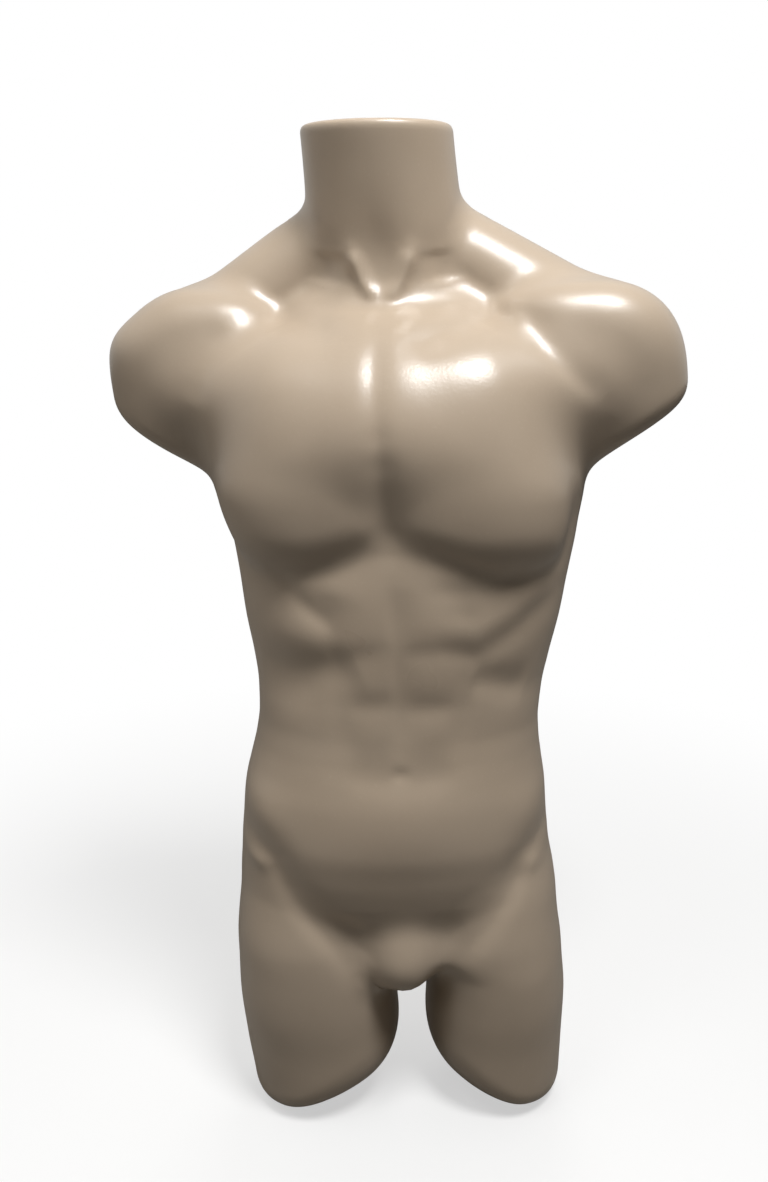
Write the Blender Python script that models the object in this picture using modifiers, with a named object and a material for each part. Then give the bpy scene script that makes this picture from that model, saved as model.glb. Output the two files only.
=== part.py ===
"""Headless male display torso with arm stubs and thigh stubs, for a stand pole.

The body is a hand-laid fibreglass shell in two halves, front and back, which
meet in the plane PARTING_Y and are bonded inside with glass tape.  The neck
and both thigh ends are closed with bonded plates.  A plywood block in the
crotch carries a steel flange and a socket tube, which drops over a stand pole
and is clamped with a thumb screw.

Metres, +Z up, the chest faces -Y, left and right are the torso's own, so its
left side is at +X.  The origin is the pole seat: the downward face inside the
socket that rests on the end of the stand pole.

The figure is shaped in its own coordinates, with z from the lowest point of
the thighs, and is then moved so that the pole seat lies at the origin.
"""

import math

import bmesh
import bpy
import numpy as np
from mathutils import Matrix, Vector

for old in list(bpy.data.objects):
    bpy.data.objects.remove(old)

# ---------------------------------------------------------------- driving dimensions
POLE_SEAT = (0.017, 0.012, 0.215)  # in the figure's coordinates
PARTING_Y = 0.005  # plane where the half shells meet, in the figure's coordinates
GAP = 0.0003  # between neighbouring pieces
WALL = 0.0040  # laminate thickness
FAR = 0.6  # beyond the figure on every side

# Skin mesh
VOXEL = 0.0065
SKIN_TRIANGLES = 2600
SMOOTHING_ROUNDS = 6
KEPT_SHARE, SMOOTHED_SHARE = 0.4, 0.6  # of each point's place, in one smoothing round

# Closing plates, and how far their cutters reach into and out of the body
NECK_PLATE_R, NECK_PLATE_T = 0.037, 0.004
THIGH_PLATE_R = 0.034
HOLE_IN = 0.030
NECK_HOLE_OUT, THIGH_HOLE_OUT = 0.02, 0.03
THIGH_DISC_REACH = 0.029
THIGH_SIDES = 40

# Seam tape
TAPE_DEPTH, TAPE_THICK, TAPE_HALF = 0.0046, 0.0016, 0.012

# Socket tube and pole stop
POLE_R = 0.0100
BORE_R, SOCKET_R = POLE_R + 0.00025, 0.0125
SOCKET_LOW, SOCKET_HIGH = -0.104, 0.006
SOCKET_SIDES = 40
STOP_R, STOP_T = SOCKET_R, 0.003
BOSS_CLEARANCE, BOSS_OVERLAP = 0.00045, 0.002
SHELL_CLEARANCE, BLOCK_CLEARANCE = 0.001, 0.0005  # around the socket tube
CUT_LOW, CUT_HIGH = -0.12, 0.02  # ends of the upright cutters

# Block, flange and screws; sizes are x, y, z
BLOCK = (0.090, 0.066, 0.018)
BLOCK_LOW = -0.050
FLANGE = (0.070, 0.054, 0.003)
FLANGE_LOW = BLOCK_LOW + BLOCK[2] + GAP
SCREW_AT = (0.025, 0.018)
SCREW_R, SCREW_LENGTH, SCREW_SIDES = 0.0020, 0.014, 16
SCREW_HEAD_R, SCREW_HEAD_T, SCREW_HEAD_TAPER = 0.0038, 0.0024, 0.7
SCREW_OVERLAP = 0.0008  # of the shank into the head
HEAD_LOW = FLANGE_LOW + FLANGE[2] + GAP

# Clamp: nut, thumb screw and wings
CLAMP_Z = -0.092
CLAMP_R, CLAMP_LENGTH, CLAMP_TIP_Y, CLAMP_SIDES = 0.0030, 0.0190, 0.0112, 24
CLAMP_HOLE_END_Y = 0.03
NUT_AF, NUT_T, NUT_Y = 0.010, 0.005, SOCKET_R + GAP
NUT_CUT_BEFORE, NUT_CUT_AFTER = 0.01, 0.02
WING_SPAN, WING_HIGH, WING_T = 0.022, 0.0085, 0.0026
WING_PLACE = 0.62  # share of the hub's length
HUB_R, HUB_T, HUB_TAPER = 0.0052, 0.0085, 0.85

# ---------------------------------------------------------------- stance
# z, sideways shift
SWAY = [
    (-0.02, 0.004), (0.20, 0.002), (0.32, 0.000), (0.40, 0.003), (0.46, 0.005), (0.56, 0.006),
    (0.62, 0.001), (0.70, -0.004), (0.80, -0.008), (0.853, -0.012), (0.908, -0.0165),
]
# z, turn about the upright axis in degrees
TWIST = [(-0.02, 3.0), (0.25, 3.0), (0.42, 0.0), (0.60, -6.0), (0.78, -7.0), (0.91, -5.0)]
# z, rise per metre towards +X
TILT = [(-0.02, 0.0), (0.50, 0.0), (0.66, 0.024), (0.80, 0.014), (0.86, 0.0)]

# ---------------------------------------------------------------- masses of the figure
# Stations: z, centre x, centre y, half width, front depth, back depth, power
TRUNK = [
    (0.155, 0.012, 0.01, 0.060, 0.040, 0.060, 2.0),
    (0.175, 0.008, 0.01, 0.090, 0.060, 0.085, 2.0),
    (0.200, 0, 0.01, 0.120, 0.080, 0.100, 2.1),
    (0.240, 0, 0.005, 0.145, 0.097, 0.102, 2.2),
    (0.270, 0, 0.005, 0.149, 0.105, 0.097, 2.25),
    (0.300, 0, 0.005, 0.1465, 0.109, 0.087, 2.3),
    (0.335, 0, 0.005, 0.1430, 0.1070, 0.074, 2.3),
    (0.360, 0, 0.005, 0.1380, 0.1045, 0.066, 2.25),
    (0.382, 0, 0.005, 0.1338, 0.1025, 0.061, 2.2),
    (0.405, 0, 0.005, 0.1316, 0.1012, 0.059, 2.15),
    (0.430, 0, 0.005, 0.1326, 0.1015, 0.061, 2.15),
    (0.460, 0, 0.005, 0.1370, 0.1042, 0.068, 2.15),
    (0.500, 0, 0.005, 0.1445, 0.108, 0.078, 2.15),
    (0.540, 0, 0.005, 0.1500, 0.109, 0.087, 2.15),
    (0.580, 0, 0.005, 0.1570, 0.107, 0.095, 2.15),
    (0.620, 0, 0.005, 0.1660, 0.105, 0.102, 2.15),
    (0.660, 0, 0.005, 0.1680, 0.102, 0.106, 2.15),
    (0.700, 0, 0.010, 0.1620, 0.096, 0.100, 2.1),
    (0.740, 0, 0.015, 0.1400, 0.080, 0.085, 2.0),
    (0.770, 0, 0.018, 0.1050, 0.060, 0.068, 2.0),
    (0.800, 0, 0.020, 0.0600, 0.045, 0.045, 2.0),
]
NECK = [
    (0.740, 0, 0.020, 0.070, 0.062, 0.062, 2.0),
    (0.800, 0, 0.014, 0.068, 0.060, 0.060, 2.0),
    (0.840, 0, 0.007, 0.0665, 0.060, 0.060, 2.0),
    (0.870, 0, 0.000, 0.0640, 0.060, 0.060, 2.0),
    (0.910, 0, -0.010, 0.0625, 0.060, 0.060, 2.0),
    (0.960, 0, -0.018, 0.0625, 0.060, 0.060, 2.0),
]
THIGH_RIGHT = [
    (-0.070, -0.0640, 0.000, 0.0720, 0.072, 0.076, 2.1),
    (0.000, -0.0655, 0.000, 0.0780, 0.076, 0.080, 2.1),
    (0.060, -0.0725, 0.000, 0.0785, 0.080, 0.084, 2.1),
    (0.110, -0.0770, 0.000, 0.0785, 0.086, 0.090, 2.15),
    (0.150, -0.0785, 0.001, 0.0775, 0.089, 0.094, 2.15),
    (0.180, -0.0800, 0.002, 0.0760, 0.090, 0.095, 2.15),
    (0.220, -0.0800, 0.004, 0.0720, 0.086, 0.092, 2.1),
    (0.270, -0.0800, 0.006, 0.0650, 0.080, 0.080, 2.0),
]
THIGH_LEFT = [
    (-0.070, 0.1010, 0.004, 0.0670, 0.072, 0.076, 2.1),
    (0.000, 0.1005, 0.004, 0.0705, 0.076, 0.080, 2.1),
    (0.060, 0.1015, 0.004, 0.0700, 0.080, 0.084, 2.1),
    (0.110, 0.1025, 0.004, 0.0690, 0.086, 0.090, 2.15),
    (0.150, 0.1005, 0.004, 0.0670, 0.089, 0.094, 2.15),
    (0.180, 0.0900, 0.004, 0.0740, 0.090, 0.095, 2.15),
    (0.220, 0.0850, 0.004, 0.0740, 0.086, 0.092, 2.1),
    (0.270, 0.0820, 0.006, 0.0670, 0.080, 0.080, 2.0),
]

# The neck is cut by a plane through this point that leans forward
NECK_TOP_Y, NECK_TOP = -0.010, 0.909
NECK_FORWARD, NECK_UP = np.sin(np.radians(5.0)), np.cos(np.radians(5.0))

# Each thigh is cut by a plane through cut_at (x, z) that faces down and inward.
# inward is the sign of x towards the other thigh; the rim grows rounder over the
# span inner_side of inward * x; plate_at is the centre of the closing plate.
CUT_INWARD, CUT_DOWN = 0.262, 0.965
THIGH_RIM, THIGH_INNER_RIM = 0.028, 0.026
THIGHS = {
    "right": dict(stations=THIGH_RIGHT, inward=1, cut_at=(-0.125, -0.012),
                  inner_side=(-0.11, -0.03), plate_at=(-0.090, 0.000, -0.0025)),
    "left": dict(stations=THIGH_LEFT, inward=-1, cut_at=(0.145, -0.008),
                 inner_side=(-0.13, -0.06), plate_at=(0.113, 0.004, 0.0006)),
}

# Ellipsoids: centre, radii
CHEST_MIDDLE = (0, -0.034, 0.672), (0.085, 0.076, 0.100)
BUTTOCK = (0.068, 0.045, 0.215), (0.082, 0.082, 0.088)
BULGE = (0.008, -0.064, 0.179), (0.031, 0.034, 0.037)

# Capsules: start, end, start radius, end radius
CHEST_WEB = (0.080, -0.040, 0.690), (0.160, -0.014, 0.705), 0.058, 0.050
ARMPIT_BACK = (0.095, 0.050, 0.650), (0.160, 0.030, 0.690), 0.053, 0.048
SHOULDER = (0.052, 0.022, 0.814), (0.178, 0.012, 0.740), 0.040, 0.0405

# Pillows: centre, radii, power
CHEST = (0.058, -0.040, 0.642), (0.094, 0.078, 0.125), 2.4
ARM = (0.165, 0.000, 0.699), (0.0850, 0.066, 0.0870), 2.7

# Balls of the rough blank: centre, radii; those off the middle are made on both sides
BLANK_BALLS = [
    ((0.165, 0.010, 0.703), (0.088, 0.066, 0.087)),
    ((0.100, 0.000, 0.700), (0.080, 0.080, 0.080)),
    ((0.115, 0.016, 0.775), (0.075, 0.040, 0.045)),
    BUTTOCK,
    ((0.000, -0.080, 0.200), (0.029, 0.042, 0.036)),
]

# ---------------------------------------------------------------- muscles drawn on the skin
# Lines: points (x, z), height in mm, widths in mm on the left and right of the
# direction of travel, with x to the right and z up.  Tables for both sides, the
# right side or the back take x as the distance from the middle.
LINES_BOTH = [
    ([(0.005, 0.770), (0.020, 0.790), (0.035, 0.825)], 4.0, 6, 7),  # neck cord
    ([(0.050, 0.785), (0.045, 0.810)], -3.0, 13, 12),  # hollow outside the cord
    ([(0.060, 0.545), (0.055, 0.470), (0.050, 0.385)], -1.2, 10, 13),  # edge of the abdominal
]
LINES_RIGHT = [
    ([(0.020, 0.755), (0.070, 0.770), (0.120, 0.780)], 3.2, 13, 9),  # collar bone
    ([(0.035, 0.745), (0.080, 0.755), (0.120, 0.770)], -3.8, 6, 11),
    ([(0.125, 0.770), (0.140, 0.735), (0.160, 0.690)], -1.8, 13, 9),  # chest to shoulder
    ([(0.100, 0.550), (0.080, 0.525), (0.055, 0.505)], -1.6, 8, 9),  # ribs
    ([(0.120, 0.455), (0.085, 0.460), (0.055, 0.470)], -2.8, 18, 14),
    ([(0.005, 0.490), (0.045, 0.480)], -0.7, 10, 10),
    ([(0.005, 0.440), (0.045, 0.435)], -0.7, 10, 10),
    # groin
    ([(0.145, 0.305), (0.115, 0.280), (0.095, 0.240), (0.060, 0.195), (0.045, 0.165)],
     -4.2, 11, 20),
]
LINES_LEFT = [
    ([(0.015, 0.750), (0.070, 0.765), (0.120, 0.780)], 3.2, 13, 8),  # collar bone
    ([(0.025, 0.735), (0.065, 0.750), (0.110, 0.765)], -4.0, 6, 11),
    # chest to shoulder
    ([(0.115, 0.765), (0.130, 0.735), (0.155, 0.710), (0.175, 0.690)], -2.4, 12, 9),
    # ribs
    ([(0.030, 0.540), (0.085, 0.540), (0.110, 0.555)], -1.2, 9, 9),
    ([(0.030, 0.510), (0.065, 0.505), (0.095, 0.520), (0.130, 0.545)], 1.6, 11, 12),
    ([(0.025, 0.490), (0.065, 0.480), (0.100, 0.500), (0.135, 0.530)], -1.8, 11, 11),
    ([(0.060, 0.460), (0.110, 0.445)], -2.2, 16, 16),
    ([(0.005, 0.485), (0.030, 0.485)], -0.8, 10, 10),
    ([(0.005, 0.435), (0.045, 0.435)], -0.9, 10, 10),
    # groin
    ([(0.145, 0.305), (0.115, 0.275), (0.095, 0.240), (0.060, 0.195), (0.050, 0.170)],
     -4.2, 11, 20),
]
LINES_MIDDLE = [
    ([(0.0, 0.740), (0.0, 0.650)], -1.6, 10, 10),  # breastbone
    ([(0.0, 0.660), (0.0, 0.575)], -3.0, 13, 13),
    ([(0.0, 0.545), (0.0, 0.400)], -2.2, 15, 8),
    ([(-0.050, 0.375), (0.000, 0.370), (0.050, 0.375)], -2.0, 20, 14),  # waist crease
]
LINES_BACK = [
    ([(0.055, 0.745), (0.055, 0.690), (0.060, 0.640)], 3.5, 12, 12),  # shoulder blade
    ([(0.060, 0.750), (0.130, 0.765)], 3.5, 8, 10),
    ([(0.065, 0.630), (0.095, 0.620), (0.125, 0.640)], -3.0, 10, 9),
    ([(0.030, 0.560), (0.030, 0.400), (0.030, 0.330)], 3.5, 15, 15),  # beside the spine
    ([(0.140, 0.650), (0.120, 0.560), (0.085, 0.480)], 2.5, 14, 14),
    ([(0.140, 0.750), (0.150, 0.715), (0.170, 0.680)], -2.5, 10, 10),
    # fold under the seat
    ([(0.020, 0.140), (0.060, 0.130), (0.100, 0.135), (0.130, 0.150)], -5.0, 8, 7),
]
LINES_SPINE = [
    ([(0.0, 0.760), (0.0, 0.330)], -4.5, 11, 11),
    ([(0.0, 0.290), (0.0, 0.165)], -7.0, 7, 7),
]
# Soft masses: x, z, half width, half height, turn in degrees, height in mm
MASSES_BOTH = [
    (0.025, 0.510, 0.018, 0.028, 0, 1.0),
    (0.025, 0.460, 0.018, 0.018, 0, 1.0),
    (0.025, 0.410, 0.018, 0.020, 0, 1.0),
]
MASSES_RIGHT = [
    (0.090, 0.500, 0.024, 0.016, 20, 2.2),
    (0.060, 0.540, 0.030, 0.013, 10, 1.6),
    (0.100, 0.410, 0.030, 0.030, 0, 2.0),
    (0.120, 0.325, 0.022, 0.020, 0, 2.8),
    (0.130, 0.275, 0.010, 0.009, 0, 2.2),
]
MASSES_LEFT = [
    (0.110, 0.410, 0.030, 0.032, 0, 1.5),
    (0.115, 0.325, 0.022, 0.020, 0, 2.0),
    (0.120, 0.270, 0.011, 0.011, 0, 2.8),
]
MASSES_MIDDLE = [
    (0.0, 0.665, 0.065, 0.048, 0, 5.0),
    (0.005, 0.330, 0.070, 0.042, 0, 5.5),
    (0.0, 0.375, 0.007, 0.006, 0, -1.5),  # navel
    (0.0, 0.805, 0.018, 0.030, 0, -4.5),  # throat
]
MASSES_BACK = [
    (0.090, 0.640, 0.022, 0.020, 0, 3.5),
    (0.105, 0.700, 0.030, 0.030, 0, 2.5),
    (0.040, 0.320, 0.010, 0.010, 0, -2.5),
    (0.105, 0.240, 0.026, 0.034, 0, -3.0),
]

# Seam tapes, in the figure's coordinates: lowest (x, z), highest (x, z)
TAPES = {
    "seam_tape_right_side": ((-FAR, 0.045), (-0.090, 0.590)),
    "seam_tape_left_side": ((0.090, 0.045), (FAR, 0.590)),
    "seam_tape_right_shoulder": ((-0.232, 0.700), (-0.088, 0.900)),
    "seam_tape_left_shoulder": ((0.082, 0.700), (0.226, 0.900)),
}

SEAT = Vector(POLE_SEAT)
PARTING = PARTING_Y - SEAT.y  # from the pole seat


# ---------------------------------------------------------------- curves and blends
def curve(z, table):
    """Smooth curve through rows of z and values, with flat slopes at turning points."""
    table = np.asarray(table, float)
    heights, values = table[:, 0], table[:, 1:]
    gaps = np.diff(heights)[:, None]
    rates = np.diff(values, axis=0) / gaps
    slopes = np.zeros_like(values)
    weight_low, weight_high = 2 * gaps[1:] + gaps[:-1], gaps[1:] + 2 * gaps[:-1]
    # The mean may divide by zero at turning points, where it isn't used
    with np.errstate(divide="ignore", invalid="ignore"):
        mean = (weight_low + weight_high) / (weight_low / rates[:-1] + weight_high / rates[1:])
    slopes[1:-1] = np.where(rates[:-1] * rates[1:] > 0, mean, 0.0)
    slopes[0], slopes[-1] = rates[0], rates[-1]
    z = np.clip(z, heights[0], heights[-1])
    row = np.clip(np.searchsorted(heights, z, side="right") - 1, 0, len(heights) - 2)
    gap = gaps[row]
    t = (z - heights[row])[:, None] / gap
    result = (
        (2 * t**3 - 3 * t**2 + 1) * values[row]
        + (t**3 - 2 * t**2 + t) * gap * slopes[row]
        + (-2 * t**3 + 3 * t**2) * values[row + 1]
        + (t**3 - t**2) * gap * slopes[row + 1]
    )
    return result if result.shape[1] > 1 else result[:, 0]


def join(first, second, blend):
    """Union of two distances, rounded over the length blend."""
    share = np.clip(0.5 + 0.5 * (second - first) / blend, 0.0, 1.0)
    return second + (first - second) * share - blend * share * (1 - share)


def trim(first, second, blend):
    """Intersection of two distances, rounded over the length blend."""
    return -join(-first, -second, blend)


def ramp(value, low, high):
    """Smooth rise from 0 at low to 1 at high."""
    t = np.clip((value - low) / (high - low), 0.0, 1.0)
    return t * t * (3 - 2 * t)


def mirrored(x, rounding):
    """Distance from the middle plane, rounded off close to it."""
    return np.sqrt(x**2 + rounding**2)


# ---------------------------------------------------------------- stance
def to_square(points):
    """Points of the figure to the straight, symmetric stance."""
    x, y, z = points.T
    level = z - curve(z, TILT) * x
    turn = np.radians(curve(level, TWIST))
    centred = x - curve(level, SWAY)
    cos, sin = np.cos(turn), np.sin(turn)
    return np.stack([cos * centred + sin * y, -sin * centred + cos * y, level], 1)


def from_square(points):
    """Points of the straight stance to the figure's twist, sway and tilt."""
    x, y, z = points.T
    turn = np.radians(curve(z, TWIST))
    cos, sin = np.cos(turn), np.sin(turn)
    swayed = cos * x - sin * y + curve(z, SWAY)
    return np.stack([swayed, sin * x + cos * y, z + curve(z, TILT) * swayed], 1)


# ---------------------------------------------------------------- distances to simple masses
def ellipsoid(points, centre, radii):
    offset = points - np.asarray(centre)
    radii = np.asarray(radii)
    scaled = np.sqrt(((offset / radii) ** 2).sum(1)) + 1e-9
    steepness = np.sqrt(((offset / radii**2) ** 2).sum(1)) + 1e-9
    return scaled * (scaled - 1) / steepness


def capsule(points, start, end, radius_start, radius_end):
    start, end = np.asarray(start, float), np.asarray(end, float)
    axis = end - start
    t = np.clip(((points - start) @ axis) / (axis @ axis), 0, 1)
    reach = np.linalg.norm(points - start - t[:, None] * axis, axis=1)
    return reach - (radius_start + (radius_end - radius_start) * t)


def pillow(points, centre, radii, power):
    """Like an ellipsoid with fuller corners."""
    offset = np.abs(points - np.asarray(centre)) / np.asarray(radii) + 1e-6
    scaled = (offset**power).sum(1) ** (1 / power)
    slope = (offset / scaled[:, None]) ** (power - 1) / np.asarray(radii)
    return (scaled - 1) / np.linalg.norm(slope, axis=1)


def section(points, stations):
    """Radial distance to a stack of egg-shaped sections."""
    z = points[:, 2]
    centre_x, centre_y, half_width, front, back, power = curve(z, stations).T
    x, y = points[:, 0] - centre_x, points[:, 1] - centre_y
    depth = np.where(y < 0, front, back)
    scaled = (np.abs(x / half_width) ** power + np.abs(y / depth) ** power) ** (1 / power) + 1e-6
    radial = np.sqrt(x * x + y * y + 1e-10) * (1 - 1 / scaled)
    ends = np.maximum(stations[0][0] - z, z - stations[-1][0])
    return trim(radial, ends, blend=0.03)


# ---------------------------------------------------------------- the smooth body
# In these functions out is the distance from the middle plane, own_left is 0 on
# the right side and 1 on the left.
def chest(out, y, z):
    """Chest plate, drawn in by 22 mm higher up, with a sloping lower edge."""
    drawn_in = out + 0.022 * ramp(z, 0.610, 0.700)
    plate = pillow(np.stack([drawn_in, y, z], 1), *CHEST)
    # The edge sags 16 mm around x = 0.075 and rises outside x = 0.112
    sag = 0.016 * np.exp(-(((out - 0.075) / 0.046) ** 2))
    low = 0.5770 - sag + 0.25 * np.clip(out - 0.112, 0, 1)
    edge = (low - z) * 0.80 - (y + 0.104) * 0.60
    return trim(plate, edge, blend=0.016)


def shoulder(out, y, z, own_left):
    """Shoulder slope, up to 3 mm lower on the outside of the right side."""
    drop = 0.0030 * (1 - own_left) * ramp(out, 0.09, 0.17)
    return capsule(np.stack([out, y, z + drop], 1), *SHOULDER)


def arm(out, y, z, own_left):
    """Arm stub, leaning back and out as it goes down, cut by an oblique plane."""
    lean_out = (0.01 + 0.08 * own_left) * (0.720 - z)
    lean_back = 0.22 * (0.745 - z)
    # The outer top of the right arm is up to 11 mm lower
    drop = 0.011 * (1 - own_left) * ramp(out, 0.165, 0.235) * ramp(z, 0.728, 0.768)
    stub = pillow(np.stack([out - lean_out, y - lean_back, z + drop], 1), *ARM)
    # The plane faces down and out; it is 5 mm higher on the left
    cut = 0.545 * (out - 0.250) - 0.838 * (z - (0.6795 + 0.005 * own_left))
    return trim(stub, cut, blend=0.016)


def thigh(points, shape):
    x, z = points[:, 0], points[:, 2]
    cut_x, cut_z = shape["cut_at"]
    inward = shape["inward"]
    cut = -CUT_DOWN * (z - cut_z) + inward * CUT_INWARD * (x - cut_x)
    rim = THIGH_RIM + THIGH_INNER_RIM * ramp(inward * x, *shape["inner_side"])
    return trim(section(points, shape["stations"]), cut, rim)


def body(points):
    """Distance to the smooth body, before the muscles are drawn on."""
    square = to_square(points)
    x, y, z = square.T
    out = mirrored(x, 0.008)
    both_sides = np.stack([out, y, z], 1)
    own_left = ramp(x, -0.02, 0.02)

    dist = section(square, TRUNK)
    dist = join(dist, chest(out, y, z), blend=0.008 + 0.030 * ramp(z, 0.585, 0.66))
    dist = join(dist, ellipsoid(square, *CHEST_MIDDLE), blend=0.024)
    dist = join(dist, capsule(both_sides, *CHEST_WEB), blend=0.026)
    dist = join(dist, capsule(both_sides, *ARMPIT_BACK), blend=0.030)
    dist = join(dist, shoulder(out, y, z, own_left), blend=0.018)
    dist = join(dist, arm(out, y, z, own_left), blend=0.016)

    dist = join(dist, section(square, NECK), blend=0.014)
    neck_cut = (z - NECK_TOP) * NECK_UP - (y - NECK_TOP_Y) * NECK_FORWARD
    dist = trim(dist, neck_cut, blend=0.007)

    dist = join(dist, ellipsoid(both_sides, *BUTTOCK), blend=0.020)
    for shape in THIGHS.values():
        dist = join(dist, thigh(points, shape), blend=0.014)
    return join(dist, ellipsoid(points, *BULGE), blend=0.034)


def gradient(points, nudge=2e-4):
    """Distance to the body and its slope along x, y and z."""
    dist = body(points)
    slope = np.empty_like(points)
    for i in range(3):
        shifted = points.copy()
        shifted[:, i] += nudge
        slope[:, i] = (body(shifted) - dist) / nudge
    return dist, slope


def project(points, rounds, limit=0.01):
    """Move points onto the body, by no more than limit in a round."""
    for _ in range(rounds):
        dist, slope = gradient(points)
        move = -(dist / ((slope * slope).sum(1) + 1e-9))[:, None] * slope
        length = np.linalg.norm(move, axis=1) + 1e-12
        move *= np.minimum(1, limit / length)[:, None]
        points = points + move
    return points


# ---------------------------------------------------------------- relief
def along(x, z, line):
    """Distance in the x-z plane to a line of points, the signed offset from it, and
    how far along it the nearest point is, 0 to 1."""
    line = np.asarray(line)
    best, where, side = np.full(len(x), 1e9), np.zeros(len(x)), np.zeros(len(x))
    lengths = np.linalg.norm(np.diff(line, axis=0), axis=1)
    starts = np.r_[0, np.cumsum(lengths)]
    for i, (start, end) in enumerate(zip(line[:-1], line[1:])):
        step = end - start
        right, up = x - start[0], z - start[1]
        t = np.clip((right * step[0] + up * step[1]) / (step @ step), 0, 1)
        dist = np.hypot(right - t * step[0], up - t * step[1])
        offset = (step[0] * up - step[1] * right) / lengths[i]
        nearer = dist < best
        best[nearer], side[nearer] = dist[nearer], offset[nearer]
        where[nearer] = ((starts[i] + t * lengths[i]) / starts[-1])[nearer]
    return best, side, where


def lines(x, z, table):
    total = np.zeros(len(x))
    for line, height, left, right in table:
        dist, side, t = along(x, z, line)
        on_left = ramp(side, -0.003, 0.003)
        width = (left * on_left + right * (1 - on_left)) / 1000
        fade = ramp(t, -0.12, 0.22) * ramp(1 - t, -0.12, 0.22)
        total += height / 1000 * np.exp(-((dist / width) ** 2)) * fade
    return total


def masses(x, z, table):
    total = np.zeros(len(x))
    for centre_x, centre_z, half_width, half_height, turn, height in table:
        cos, sin = np.cos(np.radians(turn)), np.sin(np.radians(turn))
        across = (x - centre_x) * cos + (z - centre_z) * sin
        up = -(x - centre_x) * sin + (z - centre_z) * cos
        shape = np.exp(-((across / half_width) ** 2) - (up / half_height) ** 2)
        total += height / 1000 * shape
    return total


def relief(points):
    """Raise and sink points along the body's normals to draw the muscles."""
    _, slope = gradient(points)
    normals = slope / np.linalg.norm(slope, axis=1)[:, None]
    x, y, z = to_square(points).T
    out = mirrored(x, 0.003)
    own_left = ramp(x, -0.004, 0.004)
    front = ramp(-normals[:, 1], 0.0, 0.45) * ramp(-y, -0.02, 0.02)
    back = ramp(normals[:, 1], 0.0, 0.45) * ramp(y, -0.02, 0.02)
    height = front * (
        lines(out, z, LINES_BOTH) + masses(out, z, MASSES_BOTH)
        + (1 - own_left) * (lines(-x, z, LINES_RIGHT) + masses(-x, z, MASSES_RIGHT))
        + own_left * (lines(x, z, LINES_LEFT) + masses(x, z, MASSES_LEFT))
        + lines(x, z, LINES_MIDDLE) + masses(x, z, MASSES_MIDDLE)
    )
    height += back * (
        lines(out, z, LINES_BACK) + masses(out, z, MASSES_BACK) + lines(x, z, LINES_SPINE)
    )
    return points + height[:, None] * normals


# ---------------------------------------------------------------- scene and materials
PARTS = bpy.data.collections.new("display_torso")
CUTTERS = bpy.data.collections.new("cutters")
for collection in (PARTS, CUTTERS):
    bpy.context.scene.collection.children.link(collection)


def material(name, colour, roughness, metallic=0.0, coat=0.0):
    mat = bpy.data.materials.new(name)
    mat.use_nodes = True
    shader = mat.node_tree.nodes["Principled BSDF"]
    shader.inputs["Base Color"].default_value = (*colour, 1.0)
    shader.inputs["Roughness"].default_value = roughness
    shader.inputs["Metallic"].default_value = metallic
    shader.inputs["Coat Weight"].default_value = coat
    mat.diffuse_color = (*colour, 1.0)
    return mat


SKIN = material("skin_paint", colour=(0.42, 0.34, 0.25), roughness=0.35, coat=0.4)
GLASS = material("glass_tape", colour=(0.55, 0.52, 0.40), roughness=0.6)
PLY = material("plywood", colour=(0.52, 0.36, 0.20), roughness=0.7)
STEEL = material("zinc_steel", colour=(0.60, 0.60, 0.58), roughness=0.35, metallic=1.0)
DARK = material("black_moulding", colour=(0.03, 0.03, 0.03), roughness=0.5)


# ---------------------------------------------------------------- objects and meshes
def put(name, mesh, mat):
    part = bpy.data.objects.new(name, mesh)
    PARTS.objects.link(part)
    mesh.materials.append(mat)
    return part


def cutter(name, mesh):
    """Helper object for a boolean, left out of renders."""
    helper = bpy.data.objects.new(name, mesh)
    CUTTERS.objects.link(helper)
    helper.hide_render = True
    helper.display_type = "WIRE"
    return helper


def empty(name, location, parent=None):
    marker = bpy.data.objects.new(name, None)
    marker.location = location
    marker.parent = parent
    PARTS.objects.link(marker)
    return marker


def boolean(part, operation, other):
    modifier = part.modifiers.new(operation.lower(), "BOOLEAN")
    modifier.operation = operation
    modifier.solver = "EXACT"
    modifier.object = other


def round_off(part, angle=35):
    """Smooth shading, sharp at edges steeper than angle in degrees."""
    part.data.shade_smooth()
    part.data.set_sharp_from_angle(angle=math.radians(angle))


def to_mesh(bm, name):
    mesh = bpy.data.meshes.new(name)
    bm.to_mesh(mesh)
    bm.free()
    return mesh


def box_mesh(low, high):
    size = [top - bottom for bottom, top in zip(low, high)]
    middle = [(bottom + top) / 2 for bottom, top in zip(low, high)]
    bm = bmesh.new()
    place = Matrix.Translation(middle) @ Matrix.Diagonal((*size, 1.0))
    bmesh.ops.create_cube(bm, size=1.0, matrix=place)
    return to_mesh(bm, "box")


def centred_box(size, bottom, margin=0.0):
    """Box around the z axis, with a margin at its sides and below."""
    half_x, half_y = size[0] / 2 + margin, size[1] / 2 + margin
    return box_mesh((-half_x, -half_y, bottom - margin), (half_x, half_y, bottom + size[2]))


def rod_mesh(start, end, radius, sides=48, radius_end=None):
    start, end = Vector(start), Vector(end)
    turn = (end - start).to_track_quat("Z", "Y").to_matrix().to_4x4()
    bm = bmesh.new()
    bmesh.ops.create_cone(
        bm, cap_ends=True, segments=sides, radius1=radius,
        radius2=radius if radius_end is None else radius_end,
        depth=(end - start).length, matrix=Matrix.Translation((start + end) / 2) @ turn,
    )
    return to_mesh(bm, "rod")


def upright_cutter(name, radius, sides, x=0, y=0, low=CUT_LOW):
    return cutter(name, rod_mesh((x, y, low), (x, y, CUT_HIGH), radius, sides))


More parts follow.
